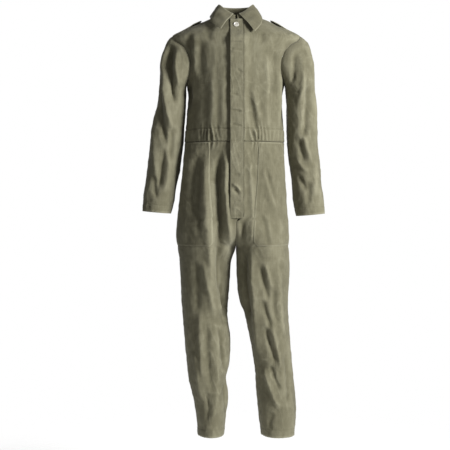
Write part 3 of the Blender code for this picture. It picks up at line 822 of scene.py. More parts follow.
class Look:
    """A procedural material: its node tree, with short calls for the nodes the materials share."""

    def __init__(self, name, roughness, specular=0.35):
        self.material = bpy.data.materials.new(name)
        self.material.use_nodes = True
        self.nodes = self.material.node_tree.nodes
        self.links = self.material.node_tree.links
        self.shader = self.nodes["Principled BSDF"]
        self.shader.inputs["Roughness"].default_value = roughness
        self.shader.inputs["Specular IOR Level"].default_value = specular

    def put(self, socket, value):
        """Links a socket to another one, or sets its number, colour or vector."""
        if isinstance(value, bpy.types.NodeSocket):
            self.links.new(value, socket)
        else:
            socket.default_value = value

    def math(self, operation, a, b=0.0):
        node = self.nodes.new("ShaderNodeMath")
        node.operation = operation
        self.put(node.inputs[0], a)
        self.put(node.inputs[1], b)
        return node.outputs[0]

    def cloth_point(self, across, down, offset=0.0):
        """The cloth's own coordinates, scaled across and down the cloth."""
        source = self.nodes.new("ShaderNodeUVMap")
        source.uv_map = "cloth"
        mapping = self.nodes.new("ShaderNodeMapping")
        self.put(mapping.inputs["Vector"], source.outputs[0])
        mapping.inputs["Scale"].default_value = (across, down, 1)
        mapping.inputs["Location"].default_value = (offset, offset * 1.7, 0)
        return mapping.outputs[0]

    def noise(self, vector, detail=2.0, roughness=0.55):
        node = self.nodes.new("ShaderNodeTexNoise")
        self.put(node.inputs["Vector"], vector)
        node.inputs["Scale"].default_value = 1.0
        node.inputs["Detail"].default_value = detail
        node.inputs["Roughness"].default_value = roughness
        return node.outputs["Fac"]

    def attribute(self, name):
        node = self.nodes.new("ShaderNodeAttribute")
        node.attribute_name = name
        return node.outputs["Fac"]

    def ramp(self, value, colours):
        """A colour ramp from (place, colour) pairs."""
        node = self.nodes.new("ShaderNodeValToRGB")
        elements = node.color_ramp.elements
        while len(elements) < len(colours):
            elements.new(0.5)
        for element, (place, colour) in zip(elements, colours):
            element.position = place
            element.color = (*colour, 1)
        self.put(node.inputs[0], value)
        return node.outputs[0]

    def bump(self, height, distance, strength=1.0):
        node = self.nodes.new("ShaderNodeBump")
        node.inputs["Strength"].default_value = strength
        node.inputs["Distance"].default_value = distance
        self.put(node.inputs["Height"], height)
        self.put(self.shader.inputs["Normal"], node.outputs[0])


def twill(name, tones, offset):
    """Washed cotton twill: diagonal wales, uneven yarns, ridges paler as faded cloth and as painted light,
    and hollows darker as painted shade.
    """
    look = Look(name, roughness=0.92, specular=0.2)
    look.shader.inputs["Sheen Weight"].default_value = 0.10
    look.shader.inputs["Sheen Roughness"].default_value = 0.5
    wale = look.nodes.new("ShaderNodeTexWave")
    wale.wave_type, wale.bands_direction, wale.wave_profile = "BANDS", "X", "SIN"
    turned = look.nodes.new("ShaderNodeMapping")
    look.put(turned.inputs["Vector"], look.cloth_point(1, 1))
    turned.inputs["Rotation"].default_value = (0, 0, math.radians(28))
    look.put(wale.inputs["Vector"], turned.outputs[0])
    wale.inputs["Scale"].default_value = 2 * math.pi / TWILL_PITCH / 20
    wale.inputs["Distortion"].default_value = 0.9
    wale.inputs["Detail"].default_value = 1.0
    wale.inputs["Detail Scale"].default_value = 3.0
    yarn = look.noise(look.cloth_point(1500, 260, offset))
    slub = look.noise(look.cloth_point(260, 16, offset), 3.0)
    weft = look.noise(look.cloth_point(24, 420, offset), 2.0)
    mottle = look.noise(look.cloth_point(15, 9, offset), 4.0, 0.6)
    cloud = look.noise(look.cloth_point(4.0, 2.2, offset), 3.0)
    # Painted light and shade: the ridge mark lightens raised cloth and darkens its hollows.
    tone = look.math("MULTIPLY", look.attribute("ridge"), 0.20)
    fields = (wale.outputs["Fac"], yarn, slub, weft, mottle, cloud)
    for field, weight in zip(fields, (0.10, 0.22, 0.26, 0.14, 0.42, 0.34)):
        tone = look.math("ADD", tone, look.math("MULTIPLY", look.math("SUBTRACT", field, 0.5), weight))
    tone = look.math("ADD", tone, look.math("MULTIPLY", look.attribute("wear"), 0.35))
    tone = look.math("ADD", tone, 0.5)
    look.put(look.shader.inputs["Base Color"], look.ramp(tone, tones))
    height = look.math("ADD", wale.outputs["Fac"], look.math("MULTIPLY", yarn, 0.8))
    height = look.math("ADD", height, look.math("MULTIPLY", slub, 0.7))
    look.bump(height, 0.00022, 0.55)
    return look.material


TWILL_PITCH = 0.0013
OLIVE_TONES = [(0.0, (0.048, 0.044, 0.024)), (0.5, (0.137, 0.128, 0.082)), (1.0, (0.270, 0.258, 0.180))]
# The inner faces get a darker copy of the olive tones: painted shade.
INSIDE_SHADE_TONES = [(0.0, (0.045, 0.041, 0.024)), (0.5, (0.105, 0.097, 0.061)), (1.0, (0.190, 0.178, 0.120))]
OLIVE = twill("olive_twill", OLIVE_TONES, 0.0)
INSIDE = twill("twill_inside", INSIDE_SHADE_TONES, 3.7)


def thread_look():
    """Cotton sewing thread, twisted and a little lighter than the cloth."""
    look = Look("thread", roughness=0.75)
    position = look.nodes.new("ShaderNodeTexCoord").outputs["Object"]
    scale = look.nodes.new("ShaderNodeVectorMath")
    scale.operation = "SCALE"
    look.put(scale.inputs[0], position)
    scale.inputs["Scale"].default_value = 700
    tone = look.noise(scale.outputs[0], 1.0)
    colours = [(0.3, (0.11, 0.10, 0.065)), (0.7, (0.22, 0.205, 0.14))]
    look.put(look.shader.inputs["Base Color"], look.ramp(tone, colours))
    look.bump(tone, 0.0001, 0.4)
    return look.material


def elastic_look():
    """Woven elastic tape, with ribs along it."""
    look = Look("elastic", roughness=0.85)
    weave = look.noise(look.cloth_point(2400, 900))
    colours = [(0.3, (0.30, 0.28, 0.22)), (0.7, (0.50, 0.48, 0.40))]
    look.put(look.shader.inputs["Base Color"], look.ramp(weave, colours))
    look.bump(weave, 0.0003, 0.6)
    return look.material


def button_look(name, tones, roughness, coat):
    """A moulded button, with a faint swirl and a gloss over it."""
    look = Look(name, roughness=roughness, specular=0.5)
    look.shader.inputs["Coat Weight"].default_value = coat
    look.shader.inputs["Coat Roughness"].default_value = 0.15
    position = look.nodes.new("ShaderNodeTexCoord").outputs["Object"]
    scale = look.nodes.new("ShaderNodeVectorMath")
    scale.operation = "MULTIPLY"
    look.put(scale.inputs[0], position)
    scale.inputs[1].default_value = (180, 420, 260)
    swirl = look.noise(scale.outputs[0], 3.0)
    look.put(look.shader.inputs["Base Color"], look.ramp(swirl, tones))
    look.bump(swirl, 0.0002, 0.2)
    return look.material


THREAD = thread_look()
ELASTIC = elastic_look()
PEARL = button_look("pearl_button", [(0.3, (0.40, 0.38, 0.32)), (0.7, (0.72, 0.70, 0.64))], 0.3, 0.6)
HORN = button_look("horn_button", [(0.3, (0.035, 0.028, 0.018)), (0.7, (0.13, 0.10, 0.06))], 0.4, 0.3)


# Putting the pieces together -----------------------------------------------------------------------


def move_with(piece, part):
    """Rides a piece on the body of the part of the suit it is on; pieces of the trousers, sleeves and collar
    only get their transform baked.
    """
    if part == "trousers":
        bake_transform(piece)
    elif part == "sleeve":
        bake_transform(piece)
    elif part == "collar":
        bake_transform(piece)
    else:
        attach(piece, part)


def add_detail(mesh, detail):
    """Moves a mesh's points along their normals by a function of both, and marks the ridges it makes, which
    the twill paints with light and shade.
    """
    points = np.empty(len(mesh.vertices) * 3)
    mesh.vertices.foreach_get("co", points)
    points = points.reshape(-1, 3)
    normals = np.array([corner.vector for corner in mesh.vertex_normals])
    lift = detail(points, normals)
    mesh.vertices.foreach_set("co", (points + normals * lift[:, None]).ravel())
    ridge = mesh.attributes["ridge"].data
    marked = np.empty(len(points))
    ridge.foreach_get("value", marked)
    # Fine creases and puckers join the ridge mark, so they get painted light on their crests and painted
    # shade in their hollows.
    ridge.foreach_set("value", np.clip(marked + 0.7 * lift / 0.0012, -1.2, 1.2).astype(np.float32))


def creases(points, seed, amount=0.0011):
    """Fine sharp creases, mostly running down and across the cloth at a slant."""
    slant = points + np.stack([0.35 * points[:, 2], 0 * points[:, 0], 0 * points[:, 0]], axis=-1)
    first = 1 - np.abs(np.tanh(2.2 * waves(slant, seed, 0.055, 2.6)))
    slant = points - np.stack([0.45 * points[:, 2], 0 * points[:, 0], 0 * points[:, 0]], axis=-1)
    second = 1 - np.abs(np.tanh(2.4 * waves(slant, seed + 1, 0.048, 2.0)))
    where = smooth(0.5 + 0.9 * waves(points, seed + 2, 0.16, 1.5))
    fine = waves(points, seed + 3, 0.016, 1.8)
    return amount * (where * (first**3 + 0.8 * second**3 - 0.35) + 0.22 * fine)


def gathered(points, normals, strength=0.0036):
    """Small puckers along the waist seam, and the seam's own groove."""
    height = points[:, 2] - HEM_Z + WAIST_DROP
    x = points[:, 0]
    facing = np.abs(normals[:, 1])
    front = normals[:, 1] < 0
    gate = bell(x + 0.095, 0.026) + bell(x - 0.075, 0.030) + 0.22
    gate = np.where(front, gate, 1.25)
    reach = bell(height - WAIST - 0.020, 0.034)
    wobble = 2.6 * waves(points * (1, 0, 0.4), 11, 0.05)
    ripple = np.sin(2 * math.pi * x / 0.0145 + wobble) - 0.3 * np.cos(4 * math.pi * x / 0.0145 + 2 * wobble)
    near = np.abs(height - WAIST)
    groove = 0.0013 * (1 - smooth(near / 0.0030))
    return strength * facing * gate * reach * ripple * smooth(near / 0.006) - groove


def body_detail(points, normals, seed):
    """The puckers of the waist, and creases that fade near it."""
    height = points[:, 2] - HEM_Z + WAIST_DROP
    return gathered(points, normals) + creases(points, seed) * smooth((np.abs(height - WAIST) - 0.004) / 0.03)


def band_depth(heights):
    """How far forward the placket's face is at each height."""
    cloth_face = along(BODICE, heights)[:, 2] + 0.0036
    share = smooth((np.asarray(heights) - PLACKET_SPLIT) / 0.050)
    return FLY_FRONT * (1 - share) + cloth_face * share


def meet_band(points, side):
    """Brings the left front's edge out to the placket, and keeps the right front's flat under it."""
    heights = points[..., 2] - HEM_Z
    if side == "right":
        return points
    near = 1 - smooth((points[..., 0] - FLY_LEFT) / 0.030)
    front = (points[..., 1] < -0.04) & (heights > FLY_LOW - 0.03)
    level = smooth((heights - FLY_LOW + 0.012) / 0.022)
    target = -(band_depth(heights.ravel()).reshape(heights.shape) - 0.0030)
    moved = points.copy()
    shift = (target - points[..., 1]) * near * level
    moved[..., 1] += np.where(front, np.minimum(shift, 0), 0)
    return moved


def hem_step(distance):
    """How a turned-up hem thickens the cloth, by the distance from its edge, and the groove of its seam."""
    inside = distance - HEM_DEPTH
    return 0.0008 * (1 - smooth((inside + 0.002) / 0.003)) - 0.0006 * bell(inside, 0.002)


def lower_waist(cloth):
    """Lets the gathered waist hang a little, as the cloth above it is slack."""
    height = cloth.points[:, 2] - HEM_Z
    cloth.points[:, 2] -= WAIST_DROP * bell(height - WAIST, 0.09)
    cloth.normals = cloth.vertex_normals()


def wear_at(cloth, lines, reach=0.0035):
    """Marks where the cloth is rubbed pale, along its edges."""
    return 1 - away_from(cloth.points, lines, reach)


def finish_cloth(cloth, part, replaced, wear=None, thickness=CLOTH, detail=None):
    """Builds a piece's mesh from its points, gives it thickness and rides it on its part's body, or for some
    parts only bakes its transform.
    """
    piece = cloth.build(wear)
    finish_mesh(piece, ("SUBSURF", {"levels": 1, "render_levels": 1, "boundary_smooth": "PRESERVE_CORNERS"}))
    if detail:
        add_detail(piece.data, detail)
    solid = {"thickness": thickness, "offset": -1.0, "material_offset": 1, "use_quality_normals": True}
    finish_mesh(piece, ("SOLIDIFY", solid))
    for polygon in piece.data.polygons:
        polygon.use_smooth = True
    move_with(piece, part)
    if replaced:
        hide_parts(*replaced)
    return piece


def sew(name, piece, rows, part, pitch=STITCH_PITCH, radius=STITCH_RADIUS):
    """Lays stitches on a finished piece and moves them with it."""
    thread = stitching(name, surface_of(piece), rows, pitch, radius)
    move_with(thread, part)
    return thread


def centre_of_leg(side):
    """A function giving the middle of a leg, or of half of the seat, at a height."""
    def middle(height):
        centre = trouser_sections(side, np.array([height]))[0][0]
        return sign_of(side) * centre
    return middle


def other(side):
    return "right" if side == "left" else "left"


def trousers(side):
    """One half of the trousers, its pocket and their stitching."""
    cloth = make_trousers(side)
    grid = cloth.grid()
    heights = cloth.heights
    seat = heights > CROTCH
    lines = [loop_points(grid, rows=0)]
    lines.append(loop_points(grid[seat], cols=0))
    lines.append(loop_points(grid[seat], cols=-1))
    fade = away_from(cloth.points, lines, SEAM_FADE)
    front = FOLDS_LEFT_TROUSER if side == "left" else FOLDS_RIGHT_TROUSER
    back = mirrored(
        FOLDS_RIGHT_TROUSER if side == "left" else FOLDS_LEFT_TROUSER,
        centre_of_leg(other(side)),
        centre_of_leg(side),
    )
    lift = fold_lift(cloth, front, back)
    lift += 0.0014 * waves(cloth.points, 21 if side == "left" else 22, 0.10, 3.0)
    lift += 0.0004 * waves(cloth.points, 23 if side == "left" else 24, 0.035, 1.4)
    cloth.lift(lift * fade)
    hem = cloth.points[:, 2] - HEM_Z
    held = 1 - away_from(cloth.points, lines, SEAM_HOLD)
    held = np.clip(HELD_EVERYWHERE + held, 0, 1)
    settle(cloth, np.where(hem < HEM_EDGE, HEM_HELD, held), shrink=-0.013, seed=31)
    cloth.points = meet_band(cloth.points, side)
    cloth.points[:, 2] += HEM_RISE * (1 - smooth(hem / 0.35))
    cloth.lift(hem_step(hem))
    lower_waist(cloth)
    middle = grid.shape[1] // 2
    hem_line = cloth.edge(rows=-1)
    wear = wear_at(cloth, [hem_line]) + 0.6 * wear_at(cloth, [cloth.edge(cols=middle)], 0.002)
    names = ["trouser_front", "trouser_back", "thigh", "leg_front", "leg_back", "leg_hem"]
    piece = finish_cloth(
        cloth, "trousers", [f"{name}_{side}" for name in names], wear,
        detail=lambda p, n: body_detail(p, n, 101) * smooth(np.abs(p[:, 0]) / 0.03),
    )
    rows = []
    steps = np.linspace(0, 1, 240)
    row_of = lambda h: np.interp(-np.asarray(h), -heights, np.arange(len(heights)))
    last = grid.shape[1] - 1
    side_seam = row_of(WAIST - 0.006 - steps * (WAIST - 0.012))
    for shift in (-0.85, 0.85):
        rows.append(trace_at(cloth, side_seam, middle + shift))
    rows.append(trace_at(cloth, row_of(HEM_DEPTH - 0.002), steps * last))
    rows.append(trace_at(cloth, row_of(WAIST - 0.0048), 1 + steps * (last - 1)))
    rows.append(trace_at(cloth, row_of(0.004 + (CROTCH - 0.01) * steps), 0.7))
    sew(f"stitching_trousers_{side}", piece, rows, "trousers")
    pocket(side, cloth, piece, row_of)
    return cloth


POCKET_INNER = [(0.7034, 0.075), (0.7170, 0.0605), (0.812, 0.0625), (0.940, 0.0745), (1.0805, 0.0800)]
FOLDS_POCKET = {
    "left": [
        ([(0.080, 0.815), (0.101, 0.789), (0.108, 0.744), (0.117, 0.699), (0.129, 0.647)], 0.006, -0.0032),
        ([(0.086, 0.830), (0.110, 0.800), (0.120, 0.744), (0.128, 0.700)], 0.007, 0.0026),
        ([(0.092, 0.985), (0.112, 0.911), (0.132, 0.850), (0.146, 0.815)], 0.008, 0.0036),
        ([(0.104, 0.985), (0.124, 0.920), (0.144, 0.860)], 0.007, -0.0024),
        ([(0.118, 1.060), (0.122, 0.980), (0.134, 0.900)], 0.008, 0.0026),
    ],
    "right": [
        ([(-0.110, 1.040), (-0.112, 0.940), (-0.120, 0.850), (-0.118, 0.760)], 0.008, 0.0036),
        ([(-0.128, 1.010), (-0.132, 0.910), (-0.138, 0.820)], 0.007, -0.0026),
        ([(-0.098, 0.860), (-0.106, 0.800), (-0.124, 0.750)], 0.007, 0.0028),
    ],
}
POCKET_SHIFT = {"left": 0.0, "right": 0.022}
POCKET_TOP, POCKET_BOTTOM = 1.0805, 0.7034


def pocket(side, cloth, trouser_piece, row_of):
    """A big patch pocket lying on the trouser front, loose along its open outer edge."""
    v = np.linspace(0, 1, 64)[:, None]
    u = np.linspace(0, 1, 26)[None, :]
    heights = POCKET_TOP - (POCKET_TOP - POCKET_BOTTOM) * v
    inner = np.interp(heights, [row[0] for row in POCKET_INNER], [row[1] for row in POCKET_INNER])
    inner = inner + POCKET_SHIFT[side] * (1 - 0.4 * (1 - v) ** 2)
    centre, radius = (a.reshape(-1, 1) for a in trouser_sections(side, heights[:, 0])[:2])
    start = np.arccos(np.clip((inner - centre) / radius, -1, 1))
    end = 0.10 + 0.30 * (1 - v)
    angle = start * (1 - u) + end * u
    first = cloth.front_angle(heights[:, 0]).reshape(-1, 1)
    half = cloth.shapes[0][1] // 2
    col = half * (1 - angle / first)
    row = row_of(heights) + np.zeros_like(col)
    base, normals = trace_at(cloth, row, col)
    flat = onto(surface_of(trouser_piece), base.reshape(-1, 3), normals.reshape(-1, 3), 0.006)[0]
    flat = flat.reshape(base.shape)
    loose = smooth(u * 1.5) ** 1.4 * smooth((1 - v) * 3.6) * smooth(v * 7)
    out = 0.0012 + (0.0035 + 0.0045 * (1 - v)) * loose
    grid = flat + normals * out[..., None]
    patch = Cloth(f"pocket_{side}_cloth", [grid], behind)
    lines = [loop_points(grid, cols=0), loop_points(grid, rows=0), loop_points(grid, rows=-1)]
    fade = away_from(patch.points, lines, 0.02)
    ripple = 0.0016 * waves(patch.points, 41 if side == "left" else 42, 0.06, 2.0)
    folds = sum(stroke(patch.points, line, width, height) for line, width, height in FOLDS_POCKET[side])
    patch.lift((np.abs(ripple) + folds + 0.001) * fade)
    edge = patch.edge(cols=-1)
    wear = wear_at(patch, lines + [edge], 0.004)
    piece = finish_cloth(
        patch, "trousers", [f"pocket_{side}"], wear, thickness=0.0012,
        detail=lambda p, n: 0.8 * creases(p, 121) * away_from(p, [edge] + lines, 0.015),
    )
    t = np.linspace(0, 1, 200)
    bottom = 62.4
    rows = []
    for inset in (0.28, 0.85):
        down = np.stack([t * 61.9, np.full(200, inset)], axis=-1)
        rows.append(trace(patch, down))
    across = np.stack([np.full(200, bottom), 0.3 + t * 24.5], axis=-1)
    rows.append(trace(patch, across))
    band_row = (POCKET_TOP - 0.793) / (POCKET_TOP - POCKET_BOTTOM) * 63
    rows.append(trace_at(patch, band_row, 8 + t * 16))
    rows.append(trace_at(patch, t * 55, 24.3))
    sew(f"stitching_pocket_{side}", piece, rows, "trousers")
    for height in (0.832, 0.822):
        at = (POCKET_TOP - height) / (POCKET_TOP - POCKET_BOTTOM) * 63
        line = trace_at(patch, at, 0.2 + np.linspace(0, 3.2, 40))
        name = f"bartack_pocket_{side}_{'upper' if height > 0.83 else 'lower'}"
        sew(name, piece, [line], "trousers", 0.0011, 0.0005)


def bodice():
    """The bodice, its gathered waist and its seams."""
    cloth = make_bodice()
    grids = [cloth.grid(i) for i in range(4)]
    loops = [loop_points(grid[cloth.hole_rows], cols=-1) for grid in grids]
    waist = [loop_points(grid, rows=-1) for grid in grids]
    neck = [loop_points(grid, rows=0) for grid in grids]
    fronts = [loop_points(grids[i], cols=0) for i in (0, 2)]
    fade = away_from(cloth.points, loops + waist + neck + fronts, SEAM_FADE)
    back = mirrored(FOLDS_BODICE, lambda h: 0, lambda h: 0)
    lift = fold_lift(cloth, FOLDS_BODICE, back)
    lift += 0.0014 * waves(cloth.points, 51, 0.11, 2.5) + 0.0004 * waves(cloth.points, 52, 0.03, 1.3)
    cloth.lift(lift * fade)
    held = 1 - away_from(cloth.points, loops + waist + neck + fronts, SEAM_HOLD)
    settle(cloth, np.clip(HELD_EVERYWHERE + held, 0, 1), shrink=-0.010, seed=53)
    left = cloth.points[:, 0] > 0
    cloth.points = np.where(left[:, None], meet_band(cloth.points, "left"), cloth.points)
    heights = cloth.points[:, 2] - HEM_Z
    casing = heights - WAIST - CASING_RISE
    doubled = smooth(-casing / 0.004) * smooth((heights - WAIST) / 0.006)
    cloth.lift(0.0016 * (doubled - bell(casing, 0.0026)))
    lower_waist(cloth)
    wear = 0.5 * wear_at(cloth, loops + neck + fronts, 0.003)
    names = ["bodice_front_left", "bodice_front_right", "bodice_back"]
    piece = finish_cloth(cloth, "torso", names, wear, detail=lambda p, n: body_detail(p, n, 101))
    rows = []
    steps = np.linspace(0, 1, 200)
    count = grids[0].shape[0] - 1
    for i in range(4):
        rows.append(trace_at(cloth, count - 2.2, 1 + steps * 27.6, i))
        rows.append(trace_at(cloth, count - 0.9, 1 + steps * 27.6, i))
        casing_row = np.interp(-(WAIST + CASING_RISE - 0.0025), -cloth.heights, np.arange(count + 1))
        rows.append(trace_at(cloth, casing_row, 1 + steps * 27.6, i))
        top, low = cloth.hole_rows[0], cloth.hole_rows[-1]
        rows.append(trace_at(cloth, 0.6 + steps * (top - 1.2), 28.2, i))
        rows.append(trace_at(cloth, top + steps * (low - top), 27.6, i))
    sew("stitching_bodice", piece, rows, "torso")
    return cloth, piece


def sleeve(side):
    """A sleeve, from the armhole seam to the cuff."""
    cloth = make_sleeve(side)
    grid = cloth.grid()
    seam = [loop_points(grid, rows=0)]
    fade = away_from(cloth.points, seam, 0.035)
    front = FOLDS_LEFT_SLEEVE if side == "left" else FOLDS_RIGHT_SLEEVE
    behind = FOLDS_RIGHT_SLEEVE if side == "left" else FOLDS_LEFT_SLEEVE
    back = mirrored(behind, lambda h: 0, lambda h: 0)
    lift = fold_lift(cloth, front, back)
    number = 61 if side == "left" else 62
    lift += 0.0013 * waves(cloth.points, number, 0.08, 2.2)
    lift += 0.0004 * waves(cloth.points, number + 2, 0.03, 1.2)
    cloth.lift(lift * fade)
    cuff = cloth.cuff_distance
    held = 1 - away_from(cloth.points, seam, SEAM_HOLD)
    settle(cloth, np.where(cuff < HEM_EDGE, HEM_HELD, np.clip(0.42 + held, 0, 1)), shrink=-0.010, seed=65)
    cloth.lift(hem_step(cuff))
    wear = wear_at(cloth, [cloth.edge(rows=-1)]) + 0.5 * wear_at(cloth, [cloth.edge(rows=0)], 0.003)
    names = ["sleeve", "sleeve_head", "cuff_hem"]
    seam_line = cloth.edge(rows=0)
    piece = finish_cloth(
        cloth, "sleeve", [f"{name}_{side}" for name in names], wear,
        detail=lambda p, n: creases(p, 111) * away_from(p, [seam_line], 0.02),
    )
    steps = np.linspace(0, 1, 240)
    last = grid.shape[1] - 1
    count = grid.shape[0] - 1
    hem_row = count - np.interp(HEM_DEPTH - 0.002, cloth.from_cuff, np.arange(len(cloth.from_cuff)))
    rows = [
        trace_at(cloth, hem_row, steps * last),
        trace_at(cloth, 1.1, steps * last),
    ]
    for shift in (-0.55, 0.55):
        rows.append(trace_at(cloth, 2 + steps * (count - 3), last / 2 + shift))
    sew(f"stitching_sleeve_{side}", piece, rows, "sleeve")


FOLDS_FLAP = [
    ([(-0.022, 1.402), (0.000, 1.400), (0.022, 1.398)], 0.0022, -0.0013),
    ([(-0.022, 1.396), (0.000, 1.394), (0.022, 1.391)], 0.0030, 0.0009),
    ([(0.001, 1.332), (0.012, 1.324), (0.021, 1.316)], 0.0030, -0.0014),
    ([(-0.019, 1.245), (-0.004, 1.242), (0.008, 1.238)], 0.0030, -0.0014),
    ([(-0.021, 1.186), (0.000, 1.184), (0.022, 1.181)], 0.0025, -0.0016),
    ([(-0.021, 1.192), (0.000, 1.191), (0.022, 1.189)], 0.0030, 0.0010),
    ([(-0.022, 1.138), (0.000, 1.134), (0.022, 1.128)], 0.0030, -0.0016),
    ([(-0.018, 0.923), (-0.004, 0.921), (0.006, 0.912), (0.016, 0.896)], 0.0050, 0.0032),
    ([(-0.012, 0.906), (0.000, 0.899), (0.010, 0.884)], 0.0050, -0.0022),
    ([(-0.014, 0.955), (0.000, 0.957), (0.014, 0.956)], 0.0040, -0.0012),
    ([(-0.014, 0.860), (0.000, 0.864), (0.016, 0.866)], 0.0040, -0.0012),
    ([(-0.016, 0.838), (0.000, 0.838), (0.014, 0.836)], 0.0040, 0.0013),
]


def behind(points):
    """Middle points for a piece on the front of the suit, so that its normals face forwards."""
    return points * (1, 0, 1)


def sunk(heights):
    """How far the fly's lower end lies back towards the trousers."""
    return 0.0045 * (1 - smooth((heights - FLY_LOW) / 0.06))


def band(name, low, high, node, body, depth_at, drop_at=None, folds=()):
    """A folded double band of cloth up the centre front."""
    rows = max(8, int((high - low) / 0.0042))
    heights = np.linspace(high, low, rows)[:, None]
    x = np.linspace(FLY_RIGHT, FLY_LEFT, 15)[None, :]
    crown = 0.0007 * np.abs(2 * (x - FLY_RIGHT) / (FLY_LEFT - FLY_RIGHT) - 1) ** 4
    y = -depth_at(heights[:, 0])[:, None] + crown
    z = heights + HEM_Z - (drop_at(heights[:, 0])[:, None] if drop_at else 0.0)
    grid = np.stack([x + 0 * y, y, z + 0 * y], axis=-1)
    cloth = Cloth(name, [grid], behind)
    edges = [loop_points(grid, cols=-1)]
    fade = away_from(cloth.points, edges, 0.006)
    lift = sum(stroke(cloth.points, line, width, height) for line, width, height in folds)
    lift = 1.4 * lift + 0.0007 * waves(cloth.points, 71, 0.045)
    seam = cloth.points[:, 2] - HEM_Z - WAIST + WAIST_DROP
    lift = lift - 0.0016 * bell(seam, 0.0022) + 0.0007 * bell(seam + 0.0045, 0.003)
    cloth.lift(lift * (0.35 + 0.65 * fade))
    # The band is made lighter all over: its wear mark is at least 0.35, more along its free edge, with a pale
    # line just below the waist seam.
    wear = np.maximum(0.7 * wear_at(cloth, [cloth.edge(cols=0)], 0.003), 0.35)
    wear = np.maximum(wear, 0.5 * bell(seam + 0.005, 0.0025))
    piece = finish_cloth(
        cloth, body, [node], wear, thickness=0.0022,
        detail=lambda p, n: 0.8 * creases(p, 131) * away_from(p, edges, 0.006),
    )
    return cloth, piece


def fly():
    """The concealed fly: flap, stand and buttonhole strip, and the placket's fixed top."""
    flap, piece = band(
        "fly_flap_cloth", FLY_LOW, PLACKET_SPLIT, "fly_flap", "fly_flap_body",
        lambda h: FLY_FRONT - sunk(h), folds=FOLDS_FLAP,
    )
    count, last = flap.shapes[0][0] - 1, flap.shapes[0][1] - 1
    steps = np.linspace(0, 1, 300)
    row_of = lambda h: (PLACKET_SPLIT - np.asarray(h)) / (PLACKET_SPLIT - FLY_LOW) * count
    turn = np.linspace(0, math.pi / 2, 20)
    curve = np.stack([row_of(1.408 - 0.020 * np.sin(turn)), last - 0.4 - 2.0 * (1 - np.cos(turn))], axis=-1)
    down = np.stack([row_of(1.388 - steps * 0.578), np.full(300, last - 2.4)], axis=-1)
    edge = np.stack([row_of(1.425 - steps * 0.620), np.full(300, last - 0.45)], axis=-1)
    cross = np.stack([np.full(300, row_of(WAIST - WAIST_DROP - 0.0042)), 0.5 + steps * (last - 1)], axis=-1)
    rows = [trace(flap, np.concatenate([curve, down])), trace(flap, edge), trace(flap, cross)]
    sew("stitching_fly_flap", piece, rows, "fly_flap_body")
    tack = trace_at(flap, row_of(0.812), 1 + np.linspace(0, last - 2.6, 60))
    sew("bartack_fly_flap", piece, [tack], "fly_flap_body", 0.0011, 0.0005)

    top, piece = band(
        "placket_top_cloth", PLACKET_SPLIT + 0.0004, NECK - 0.0006, "placket_top", "torso",
        band_depth, lambda h: NECK_DROP * np.clip((h - ARMHOLE_TOP) / (NECK - ARMHOLE_TOP), 0, 1),
    )
    count, last = top.shapes[0][0] - 1, top.shapes[0][1] - 1
    steps = np.linspace(0, 1, 100)
    rows = []
    for col in (0.6, last - 0.45):
        rows.append(trace_at(top, 0.5 + steps * (count - 1), col))
    rows.append(trace_at(top, count - 0.9, 0.8 + steps * (last - 1.6)))
    sew("stitching_placket_top", piece, rows, "torso")

    for name, node, x_low, x_high, face in (
        ("button_stand_cloth", "button_stand", -0.0209, 0.0247, 0.1190),
        ("buttonhole_strip_cloth", "buttonhole_strip", -0.0190, 0.0247, 0.1207),
    ):
        heights = np.linspace(1.4270, 0.8030, 150)[:, None]
        x = np.linspace(x_low, x_high, 11)[None, :]
        grid = np.stack([x + 0 * heights, sunk(heights) - face + 0 * x, heights + HEM_Z + 0 * x], axis=-1)
        cloth = Cloth(name, [grid], behind)
        cloth.lift(0.0003 * waves(cloth.points, 81, 0.03))
        wear = 0.4 * wear_at(cloth, [cloth.edge(cols=0)], 0.002)
        piece = finish_cloth(cloth, "torso", [node], wear, thickness=0.0011)
        steps = np.linspace(0, 1, 300)
        lines = [trace_at(cloth, 0.5 + steps * 148, col) for col in (0.8, 9.2)]
        sew(f"stitching_{node}", piece, lines, "torso")


# Collar and epaulettes -----------------------------------------------------------------------------


def ring_point(angle, share):
    """A point of the collar stand: share 0 is the neck seam, 1 its upper edge."""
    angle = math.atan2(math.sin(angle), math.cos(angle))
    side = "left" if math.cos(angle) >= 0 else "right"
    folded = angle if side == "left" else math.pi - angle
    folded = math.atan2(math.sin(folded), math.cos(folded))
    base = bodice_surface(side, np.array([NECK]), np.array([[folded]]))[0, 0]
    base = base * (1 - 0.003 / 0.08, 1 - 0.003 / 0.07, 1)
    away = min(1.0, abs(folded + math.pi / 2) / math.radians(75))
    rise = 0.0012 + (0.015 + 0.029 * float(smooth(np.array(away)))) * share
    return np.array([base[0] * (1 - 0.26 * share), base[1] * (1 - 0.14 * share), base[2] + rise])


def fold_point(angle):
    """A point of the line where the collar folds over its stand."""
    edge = ring_point(angle, 1.0)
    return np.array([edge[0] * 1.05, edge[1] * 1.05, edge[2] + 0.0035])


COLLAR_TIPS = {"right": (-0.055, -0.112, 1.477), "left": (0.066, -0.112, 1.468)}
COLLAR_SIDE = math.radians(-12)
COLLAR_FRONT = math.radians(-82)


def collar_edge(side, angle):
    """A point of the collar's outer edge, as on the wearer's left."""
    if angle > COLLAR_SIDE:
        height = 0.006 - 0.016 * max(0.0, math.sin(angle))
        return np.array([0.095 * math.cos(angle), 0.090 * math.sin(angle), height])
    tip = np.array(COLLAR_TIPS[side]) * (sign_of(side), 1, 1) + (0, 0, HEM_Z)
    start = np.array([0.095 * math.cos(COLLAR_SIDE), 0.090 * math.sin(COLLAR_SIDE), 0.006])
    bow = np.array([0.104, -0.082, -0.024])
    u = (angle - COLLAR_FRONT) / (COLLAR_SIDE - COLLAR_FRONT)
    return (1 - u) ** 2 * tip + 2 * u * (1 - u) * bow + u**2 * start


